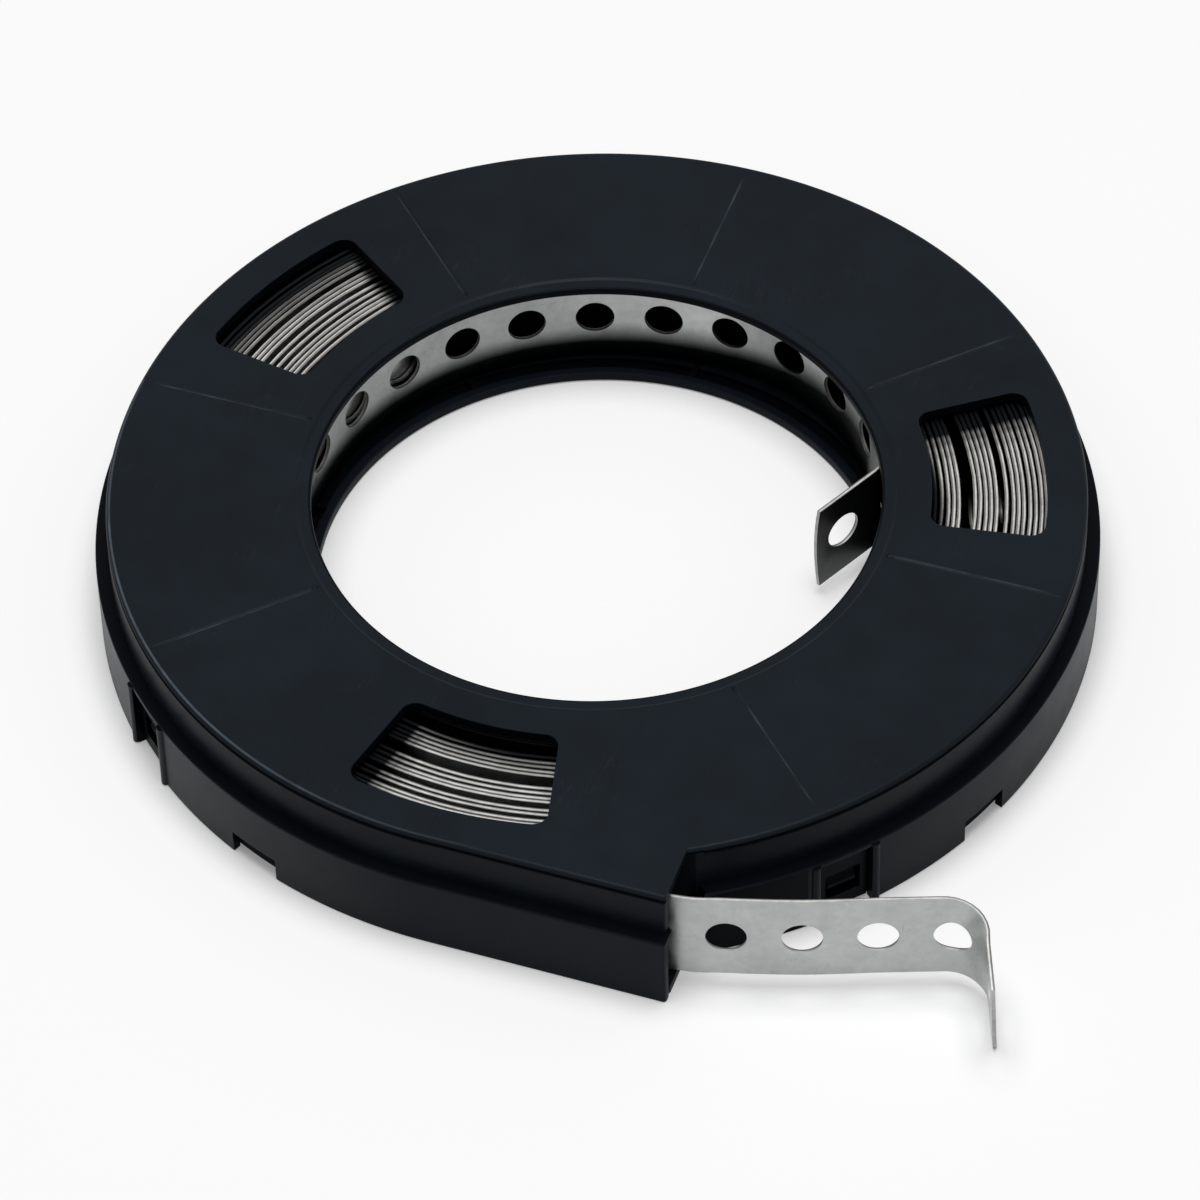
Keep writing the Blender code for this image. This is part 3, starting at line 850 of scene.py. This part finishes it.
def bead(solids, degrees, root, proud, width, bottom, top, aside):
    """An upright rib on the skirt with a rounded outer face."""
    half = width / 2
    plan = [(root - 1.0, aside + half), (root - 1.0, aside - half)]
    for turn in arc_angles(-90.0, 90.0, 15.0):
        x, y = polar(1.0, turn)
        plan.append((root + proud * x, aside + half * y))
    solids.prism(turned_by(plan, degrees), bottom, top)


def build_cover(case, materials):
    edge = 0.25
    skirt = [(case.ledge - edge, case.bottom), (case.ledge - 0.07, case.bottom + 0.07)]
    skirt.append((case.ledge, case.bottom + edge))
    for inwards, down in quarter(0.3, 4):
        skirt.append((case.ledge - inwards, -case.band_height - down))
    cover = Solids("cover").loft([
        at_height(case.outline(offset, case.skirt_spout), z) for offset, z in skirt
    ]).made()
    top = case.groove_top
    band = [(0.0, case.ledge_under + 0.5), (0.0, top - 0.75), (-0.04, top - 0.68)]
    band += [(-0.35, top - 0.5), (-0.35, top - 0.12), (-0.1, top)]
    band += [(-inwards, -down) for inwards, down in quarter(case.fillet, 6)[1:]]
    join(cover, Solids("upper band").loft([
        at_height(case.outline(offset, case.spout), z) for offset, z in band
    ]))
    ribs = Solids("latch ribs")
    for degrees in LATCH_ANGLES:
        for side in (-1, 1):
            bead(
                ribs, degrees, case.ring + case.ledge - 0.15, 0.55, 1.4,
                case.bottom + 0.2, -case.band_height - 0.4, side * 5.15,
            )
    join(cover, ribs)
    cut(cover, Solids("room in the band").prism(
        case.room(-case.band_wall, 0.0, case.spout), case.ledge_under - 1, -case.sheet,
    ))
    cut(cover, Solids("room in the skirt").prism(
        case.room(case.ledge - case.skirt_wall, case.ledge, case.skirt_spout),
        case.bottom - 2, case.ledge_under,
    ))
    start = -math.degrees(math.acos(case.spout / case.ring))
    guide = [polar(case.ring, a) for a in arc_angles(GUIDE_ANGLE, start + 2.0)]
    guide += [
        polar(case.ring - case.band_wall, a)
        for a in arc_angles(start + 2.0, GUIDE_ANGLE)
    ]
    join(cover, Solids("guide behind the strap").prism(guide, -19.3, -case.sheet / 2))
    under = Solids("ribs under the top")
    for number in range(RIB_COUNT):
        if number != RIB_AT_SPOUT:
            under.block(
                360.0 * number / RIB_COUNT, 47.5, case.ring - case.band_wall / 2, 1.0,
                -case.sheet - 0.4, -case.sheet / 2,
            )
    join(cover, under)
    openings = Solids("latch openings")
    catches = Solids("latch catches")
    for degrees in LATCH_ANGLES:
        openings.block(
            degrees, case.ring + 0.5, case.ring + 6, LATCH_WIDTH,
            case.bottom - 2, -9.0,
        )
        latch_catch(case, catches, degrees)
    cut(cover, openings)
    join(cover, catches)
    notches = Solids("notches")
    for degrees in NOTCH_ANGLES:
        notches.block(
            degrees, case.ring - 1, case.ring + 6, NOTCH_WIDTH,
            case.bottom - 2, case.bottom + 4.4,
        )
    cut(cover, notches)
    bore = [(case.bore, -6.0), (case.bore, -0.75), (case.bore + 0.08, -0.55)]
    bore += [
        (case.bore + 0.2, -0.42), (case.bore + 0.45, -0.35), (case.bore + 1.8, -0.33),
    ]
    bore += [
        (case.bore + 2.05, -0.27), (case.bore + 2.3, -0.1), (case.bore + 2.6, 0.05),
    ]
    bore += [(case.bore + 2.7, 3.0)]
    cut(cover, Solids("bore").loft([at_height(circle(r), z) for r, z in bore]))
    windows = Solids("windows")
    for degrees in WINDOW_ANGLES:
        flare = [(0.0, -5.0), (0.0, -0.15), (0.04, -0.05), (0.13, 0.01), (0.2, 3.0)]
        windows.loft([at_height(case.window(degrees, grown), z) for grown, z in flare])
    cut(cover, windows)
    lines = Solids("moulded lines")
    pips = Solids("pips at the lines' inner ends")
    for number in range(RIB_COUNT):
        degrees = 360.0 * number / RIB_COUNT
        start = 71.9 if number == RIB_AT_SPOUT else 48.3
        wedge = [(-0.5, 0.03), (-0.12, -0.16), (0.5, 0.03)]
        loops = []
        for reach, share in (
            (start, 0.5), (start + 0.8, 1.0), (75.6, 0.8), (76.2, 0.3),
        ):
            loops.append(turned_by(
                [(reach, y * share, z * share) for y, z in wedge], degrees,
            ))
        lines.loft(loops)
        if number != RIB_AT_SPOUT:
            loops = []
            for reach, share in ((47.9, 0.3), (48.2, 1.0), (49.0, 1.0), (49.6, 0.2)):
                pip = [(-0.5 * share, 0.03), (0.0, -0.3 * share), (0.6 * share, 0.03)]
                loops.append(turned_by([(reach, y, z) for y, z in pip], degrees))
            pips.loft(loops)
    cut(cover, lines)
    cut(cover, pips)

    def is_inner(x, y, z, normal):
        """Faces given the painted shade: bore, window walls, latch openings and mouth,
        the groove under the top fillet, the ledges' tops and the wall behind the strap.
        """
        in_spout = 0.0 < x < case.spout + 2 and y < -60.0
        out = -y - case.ring if in_spout else math.hypot(x, y) - case.ring
        if z > -0.36:
            return False
        if normal.z > 0.7 and z < 0.5 - case.band_height:
            return True
        if z > -case.band_height - 0.35:
            groove = (
                case.groove_top > z > case.groove_top - 0.9
                and out > -1.0 and out < -0.02
            )
            return out < -0.55 or groove
        behind_strap = (
            x > case.spout + 2
            and -76.0 < math.degrees(math.atan2(y, x)) < -46.8
        )
        return out < case.ledge - 0.3 or behind_strap

    settled(cover, materials, 32, is_inner)
    return cover


def build_base(case, materials):
    sheet_top = case.bottom + case.base_sheet
    rim_top = sheet_top + 0.4
    plan = [(-0.2, case.bottom), (0.0, case.bottom + 0.2), (0.0, sheet_top)]
    base = Solids("base").loft([
        at_height(case.outline(case.base_overhang + grown, case.skirt_spout), z)
        for grown, z in plan
    ]).made()
    inside = sheet_top - 0.8
    join(base, Solids("rim").prism(circle(case.bore + 1.35), inside, rim_top))
    groove = Solids("groove behind the rim")
    groove.ring([(case.bore + 1.75, inside), (case.bore + 3.9, inside),
                 (case.bore + 3.9, sheet_top + 2), (case.bore + 1.75, sheet_top + 2)])
    cut(base, groove)
    ribs = Solids("ribs on the base")
    for number in range(RIB_COUNT):
        ribs.block(
            360.0 * number / RIB_COUNT,
            case.bore + 0.7, case.ring - case.band_wall, 1.0,
            inside - 0.2, rim_top,
        )
    join(base, ribs)
    tongues = Solids("tongues")
    slots = Solids("slots")
    for degrees in LATCH_ANGLES:
        tongues.block(
            degrees, case.ring - 0.1, case.ring + 1.0, case.tongue_width, inside,
            case.ledge_under - case.gap,
        )
        slots.block(degrees, case.ring - 2, case.ring + 3, 6.0, -18.3, -13.2)
    join(base, tongues)
    cut(base, slots)
    bore = [(case.bore + 0.3, case.bottom - 2), (case.bore + 0.3, case.bottom)]
    bore += [(case.bore, case.bottom + 0.3), (case.bore, rim_top - 0.3)]
    bore += [(case.bore + 0.09, rim_top - 0.09), (case.bore + 0.3, rim_top)]
    bore += [(case.bore + 0.3, rim_top + 2)]
    cut(base, Solids("bore").loft([at_height(circle(r), z) for r, z in bore]))

    def is_inner(x, y, z, normal):
        """Faces given the painted shade: the upper side behind the rim, with the ribs and
        the latch tongues.
        """
        return math.hypot(x, y) > case.bore + 1.3 and z > case.bottom + 0.3

    settled(base, materials, 32, is_inner)
    return base


# ----------------------------------------------------------------------- strap


def smooth_curve(points, steps):
    """A curve through the points, with its slope taken from their neighbours."""
    ends = [points[0]] + list(points) + [points[-1]]
    found = []
    for a, b, c, d in zip(ends, ends[1:], ends[2:], ends[3:]):
        for i in range(steps):
            t = i / steps
            found.append(tuple(
                0.5 * (2 * q + (r - p) * t + (2 * p - 5 * q + 4 * r - s) * t**2
                       + (3 * q - p - 3 * r + s) * t**3)
                for p, q, r, s in zip(a, b, c, d)
            ))
    found.append(tuple(points[-1]))
    return found


def rounded_corner(before, corner, after, radius, steps=20):
    """Points that take a corner with an arc, from one straight to the next."""
    corner = Vector(corner)
    back = (Vector(before) - corner).normalized()
    ahead = (Vector(after) - corner).normalized()
    half = back.angle(ahead) / 2
    reach = radius / math.tan(half)
    centre = corner + (back + ahead).normalized() * (radius / math.sin(half))
    first = corner + back * reach - centre
    sweep = first.angle_signed(corner + ahead * reach - centre)
    found = []
    for i in range(steps + 1):
        turn = -sweep * i / steps
        c, s = math.cos(turn), math.sin(turn)
        found.append((
            centre.x + first.x * c - first.y * s,
            centre.y + first.x * s + first.y * c,
        ))
    return found


def coil_stations():
    """Angle and radius along the whole coil, from the first turn outwards."""
    stations = list(FIRST_TURN)
    for number, right in enumerate(RIGHT_TURNS):
        left = LEFT_TURNS[number]
        swell = BACK_SWELL[number] if number < len(BACK_SWELL) else 0.0
        stations.append((SEEN_AT + 360.0 * number, right))
        for turned, share, part in (
            (41.0, 0.3, 0.75), (72.0, 0.55, 1.0), (100.0, 0.8, 0.6),
        ):
            stations.append((
                SEEN_AT + turned + 360.0 * number,
                right + (left - right) * share + swell * part,
            ))
        stations.append((517.5 + 360.0 * number, left))
        if number < len(FRONT_TURNS):
            stations.append((630.0 + 360.0 * number, FRONT_TURNS[number]))
    last = 360.0 * len(RIGHT_TURNS) + 360.0
    stations += [(last + degrees, radius) for degrees, radius in OUTER_LEAVING]
    return stations


def eased_turns(stations, step=4.0):
    """Points between stations. One shared easing keeps the turns apart."""
    found = []
    for (a, r), (b, s) in zip(stations, stations[1:]):
        steps = max(1, round((b - a) / step))
        for i in range(steps):
            t = i / steps
            share = t * t * (3 - 2 * t)
            found.append(polar(r + (s - r) * (0.5 * t + 0.5 * share), a + (b - a) * t))
    found.append(polar(stations[-1][1], stations[-1][0]))
    return found


class Route:
    """A plan curve measured along its length."""

    def __init__(self, points):
        self.points = [Vector(p) for p in points]
        self.marks = [0.0]
        for a, b in zip(self.points, self.points[1:]):
            self.marks.append(self.marks[-1] + (b - a).length)
        self.length = self.marks[-1]

    def at(self, s):
        i = min(max(bisect_right(self.marks, s) - 1, 0), len(self.points) - 2)
        share = (s - self.marks[i]) / (self.marks[i + 1] - self.marks[i])
        return self.points[i].lerp(self.points[i + 1], share)

    def frame(self, s):
        ahead = (self.at(s + 0.4) - self.at(s - 0.4)).normalized()
        return self.at(s), ahead


def strap_route(bend_radius):
    """The strap's middle line, and the lengths of its tip and of its bend."""
    after_fold = polar(FIRST_TURN[0][1], FIRST_TURN[0][0])
    points = [INNER_END] + rounded_corner(
        INNER_END, INNER_FOLD, after_fold, FOLD_SOFTNESS,
    )
    points += [polar(r, a) for a, r in smooth_curve(FIRST_TURN, 6)[:-1]]
    points += eased_turns(coil_stations()[len(FIRST_TURN) - 1:])
    run = smooth_curve([points[-1]] + list(OUTER_RUN), 8)[1:]
    bend = rounded_corner(OUTER_RUN[-1], OUTER_BEND, OUTER_TIP, bend_radius)
    points += run + bend + [OUTER_TIP]
    straight = (Vector(OUTER_TIP) - Vector(bend[-1])).length
    curved = sum((Vector(b) - Vector(a)).length for a, b in zip(bend, bend[1:]))
    return Route(points), straight, curved


class StripMesh:
    """A strap bent along its route, one pitch with one hole at a time."""

    def __init__(self, place, width, thickness, hole, edge):
        self.place = place
        self.tall = width / 2
        self.half = thickness / 2
        self.hole = hole / 2
        self.edge = edge
        self.points = []
        self.faces = []
        self.indices = []
        self.known = {}

    def corner(self, s, y, out):
        key = (round(s, 4), round(y, 4), round(out, 4))
        if key not in self.known:
            self.known[key] = len(self.points)
            self.points.append(self.place(s, y, out))
        return self.known[key]

    def face(self, corners, index):
        kept = list(dict.fromkeys(corners))
        if len(kept) > 2:
            self.faces.append(kept)
            self.indices.append(index)

    def cell(self, low, high, left_steps, right_steps, across, first, last):
        flat = self.tall - self.edge
        left = [(low, flat - 2 * flat * i / left_steps) for i in range(left_steps)]
        bottom = [(low + (high - low) * i / across, -flat) for i in range(across)]
        right = [(high, -flat + 2 * flat * i / right_steps) for i in range(right_steps)]
        top = [(high - (high - low) * i / across, flat) for i in range(across)]
        outline = left + bottom + right + top
        turns = [135 + 90.0 * i / left_steps for i in range(left_steps)]
        turns += [225 + 90.0 * i / across for i in range(across)]
        turns += [-45 + 90.0 * i / right_steps for i in range(right_steps)]
        turns += [45 + 90.0 * i / across for i in range(across)]
        middle = (low + high) / 2
        hole = []
        for turn in turns:
            x, y = polar(self.hole, turn)
            hole.append((middle + x, y))
        count = len(outline)
        wide = [(middle + (s - middle) * TORN, y * TORN) for s, y in hole]
        for i in range(count):
            j = (i + 1) % count
            for out, rim in ((self.half, hole), (-self.half, wide)):
                ring = [self.corner(*rim[i], out), self.corner(*outline[i], out),
                        self.corner(*outline[j], out), self.corner(*rim[j], out)]
                self.face(ring if out > 0 else ring[::-1], 0)
            self.face([
                self.corner(*hole[i], self.half), self.corner(*hole[j], self.half),
                self.corner(*hole[j], 0.0), self.corner(*hole[i], 0.0),
            ], 1)
            self.face([
                self.corner(*hole[i], 0.0), self.corner(*hole[j], 0.0),
                self.corner(*wide[j], -self.half), self.corner(*wide[i], -self.half),
            ], 2)
        section = [
            (flat, self.half), (self.tall - 0.02, self.half - 0.08),
            (self.tall, -0.02), (self.tall - 0.09, -self.half + 0.03),
            (flat, -self.half),
        ]
        for i in range(across):
            a = low + (high - low) * i / across
            b = low + (high - low) * (i + 1) / across
            for part, ((y0, o0), (y1, o1)) in enumerate(zip(section, section[1:])):
                index = 1 if part < 2 else 2
                self.face([self.corner(b, y0, o0), self.corner(a, y0, o0),
                           self.corner(a, y1, o1), self.corner(b, y1, o1)], index)
                self.face([self.corner(a, -y0, o0), self.corner(b, -y0, o0),
                           self.corner(b, -y1, o1), self.corner(a, -y1, o1)], index)
        if first or last:
            s = low if first else high
            steps = left_steps if first else right_steps
            rim = [
                (s, flat - 2 * flat * i / steps, self.half) for i in range(steps + 1)
            ]
            rim += [(s, -y, o) for y, o in section[1:-1]]
            rim += [
                (s, -flat + 2 * flat * i / steps, -self.half) for i in range(steps + 1)
            ]
            rim += [(s, y, o) for y, o in section[-2:0:-1]]
            loop = [self.corner(*p) for p in rim]
            self.face(loop if first else loop[::-1], 1)


def build_strap(strap, materials):
    width = strap.width / MM
    pitch = strap.pitch / MM
    route, straight, curved = strap_route(strap.bend / MM)
    count = round(route.length / pitch)
    pitch = route.length / count
    middle = -strap.top / MM - width / 2

    def slope(left):
        return OUTER_DROOP * min(max((straight + curved - left) / curved, 0.0), 1.0)

    def drop(left):
        reach = straight + curved
        if left >= reach:
            return 0.0
        steps = 24
        part = (reach - left) / steps
        middles = (left + part * (i + 0.5) for i in range(steps))
        return sum(math.sin(slope(at)) * part for at in middles)

    def settle(s):
        """How much a turn sits lower than its neighbours, inside the case."""
        if s < 40 or route.length - s < 260:
            return 0.0
        return -0.14 + 0.13 * math.sin(s / 173.0) * math.sin(s / 611.0)

    def place(s, y, out):
        here, ahead = route.frame(s)
        side = Vector((ahead.y, -ahead.x))
        if s < 14.0:
            out -= 0.7 * (1.0 - s / 14.0) * (1.0 - (2.0 * y / width) ** 2)
        left = route.length - s
        tilt = slope(left)
        lean = y * math.sin(OUTER_TWIST) * tilt / OUTER_DROOP
        flat = here + side * (out + lean) + ahead * y * math.sin(tilt)
        return Vector((*flat, middle + settle(s) - drop(left) + y * math.cos(tilt)))

    strip = StripMesh(
        place, width, strap.thickness / MM, strap.hole / MM, strap.edge / MM,
    )

    def seen(number):
        """Whether the joint before this hole is in the bore or out of the spout."""
        return number <= PITCHES_IN_BORE or number > count - PITCHES_OUTSIDE

    for number in range(count):
        fine = number < PITCHES_IN_BORE or number >= count - PITCHES_OUTSIDE
        strip.cell(
            number * pitch, (number + 1) * pitch, 8 if seen(number) else 4,
            8 if seen(number + 1) else 4, 10 if fine else 4,
            number == 0, number == count - 1,
        )
    made = mesh_object("strap", strip.points, strip.faces, materials, strip.indices)
    mesh = made.data
    mesh.polygons.foreach_set("use_smooth", [True] * len(mesh.polygons))
    mesh.set_sharp_from_angle(angle=math.radians(35))
    return made


# --------------------------------------------------------------------- staging


def direction(azimuth, elevation):
    flat = math.cos(elevation)
    return Vector((
        flat * math.cos(azimuth), flat * math.sin(azimuth), math.sin(elevation),
    ))


def shown_directly(graph):
    """1 for what the camera, metal and glass see, and 0 for light on the object."""
    rays = graph.node("ShaderNodeLightPath").outputs
    shown = graph.plus(rays["Is Camera Ray"], rays["Is Glossy Ray"])
    return graph.plus(shown, rays["Is Transmission Ray"], clamp=True)


def build_world(stage):
    world = bpy.data.worlds.new("Surround")
    world.use_nodes = True
    graph = Graph(world.node_tree)
    surround = world.node_tree.nodes["Background"].inputs
    graph.feed(surround["Color"], (1.0, 1.0, 1.0, 1.0))
    white = graph.times(shown_directly(graph), 1.0 - stage.surround)
    graph.feed(surround["Strength"], graph.plus(white, stage.surround))
    bpy.context.scene.world = world


def build_floor(stage):
    paint = Paint("floor paint")
    shown = shown_directly(paint.graph)
    paint.set(
        Base_Color=paint.graph.mixed(
            shown, tuple(stage.floor_bounce), tuple(stage.floor),
        ),
        Roughness=0.9, Specular_IOR_Level=0.0, Emission_Color=(1.0, 1.0, 1.0, 1.0),
        Emission_Strength=paint.graph.times(shown, stage.floor_glow),
    )
    height = -RING_CENTRE.z / MM - FLOOR_CLEARANCE
    corners = ((-1, -1), (1, -1), (1, 1), (-1, 1))
    points = [(x * FLOOR_REACH, y * FLOOR_REACH, height) for x, y in corners]
    mesh_object("floor", points, [(0, 1, 2, 3)], [paint.material])


def build_lamp(stage):
    lamp = bpy.data.lights.new("overhead lamp", "AREA")
    lamp.shape = "DISK"
    lamp.size = stage.lamp_size
    lamp.energy = stage.lamp
    holder = bpy.data.objects.new("overhead lamp", lamp)
    away = direction(*LAMP_DIRECTION)
    holder.location = away * LAMP_DISTANCE
    holder.rotation_euler = away.to_track_quat("Z", "Y").to_euler()
    bpy.context.scene.collection.objects.link(holder)


def build_camera(stage):
    scene = bpy.context.scene
    camera = bpy.data.cameras.new("camera")
    camera.lens = stage.lens
    camera.sensor_width = 36.0
    camera.clip_start = 0.05
    camera.clip_end = 50.0
    eye = bpy.data.objects.new("camera", camera)
    back = direction(stage.azimuth, stage.elevation)
    turn = (
        back.to_track_quat("Z", "Y").to_matrix()
        @ Matrix.Rotation(stage.roll, 3, "Z")
    )
    target = RING_CENTRE + CAMERA_TARGET * MM
    eye.matrix_world = (
        Matrix.Translation(target + back * stage.distance) @ turn.to_4x4()
    )
    scene.collection.objects.link(eye)
    scene.camera = eye


# ------------------------------------------------------------------- operators


def adopt(made, node):
    """The piece stands for its CAD node: it hangs under the root body, and the CAD node
    is hidden.
    """
    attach(made, "root")
    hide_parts(node)


class MakeCover(bpy.types.Operator):
    """Makes the cover with its spout, windows, latch openings and moulded lines"""

    bl_idname = "strap_case.cover"
    bl_label = "Cover"

    def execute(self, context):
        case = Case(context.scene.case_sizes)
        made = build_cover(case, [
            black_plastic(
                "cover plastic", case, case.plastic, case.shine, 0.5, 0.25, True,
            ),
            black_plastic("cover inside", case, case.inside, 0.03, 0.4, 0.0),
        ])
        adopt(made, "case_cover")
        return {"FINISHED"}


class MakeBase(bpy.types.Operator):
    """Makes the base with its rim, ribs and latch tongues"""

    bl_idname = "strap_case.base"
    bl_label = "Base"

    def execute(self, context):
        case = Case(context.scene.case_sizes)
        made = build_base(case, [
            black_plastic("base plastic", case, case.plastic, case.shine, 0.4, 0.3),
            black_plastic("base inside", case, case.inside, 0.03, 0.4, 0.0),
        ])
        adopt(made, "case_base")
        return {"FINISHED"}


class MakeStrap(bpy.types.Operator):
    """Makes the coiled strap with its holes and its two free ends"""

    bl_idname = "strap_case.strap"
    bl_label = "Strap"

    def execute(self, context):
        strap = context.scene.strap_sizes
        made = build_strap(strap, [
            zinc("zinc coating", strap), sheared("burnished edge", strap.cut),
            sheared("torn edge", strap.fracture),
        ])
        adopt(made, "strap")
        return {"FINISHED"}


class MakeStage(bpy.types.Operator):
    """Makes the floor, the light and the camera"""

    bl_idname = "strap_case.stage"
    bl_label = "Stage"

    def execute(self, context):
        context.scene.view_settings.view_transform = "Standard"
        for build in (build_world, build_floor, build_lamp, build_camera):
            build(context.scene.stage_settings)
        return {"FINISHED"}


class StrapPanel(bpy.types.Panel):
    """Lists the pieces and their sizes"""

    bl_idname = "VIEW3D_PT_strap_case"
    bl_label = "Strap case"
    bl_space_type = "VIEW_3D"
    bl_region_type = "UI"
    bl_category = "Strap"

    def draw(self, context):
        scene = context.scene
        groups = (
            (scene.case_sizes, (MakeCover, MakeBase)),
            (scene.strap_sizes, (MakeStrap,)),
            (scene.stage_settings, (MakeStage,)),
        )
        for sizes, operators in groups:
            column = self.layout.box().column(align=True)
            for name in sizes.__annotations__:
                column.prop(sizes, name)
            for operator in operators:
                column.operator(operator.bl_idname)


CLASSES = (
    StrapSizes, CaseSizes, StageSettings,
    MakeCover, MakeBase, MakeStrap, MakeStage, StrapPanel,
)


def register():
    for made in CLASSES:
        bpy.utils.register_class(made)
    bpy.types.Scene.strap_sizes = PointerProperty(type=StrapSizes)
    bpy.types.Scene.case_sizes = PointerProperty(type=CaseSizes)
    bpy.types.Scene.stage_settings = PointerProperty(type=StageSettings)


def unregister():
    del bpy.types.Scene.stage_settings
    del bpy.types.Scene.case_sizes
    del bpy.types.Scene.strap_sizes
    for made in reversed(CLASSES):
        bpy.utils.unregister_class(made)


def main():
    register()
    bpy.ops.strap_case.cover()
    bpy.ops.strap_case.base()
    bpy.ops.strap_case.strap()
    bpy.ops.strap_case.stage()


if __name__ == "__main__":
    main()
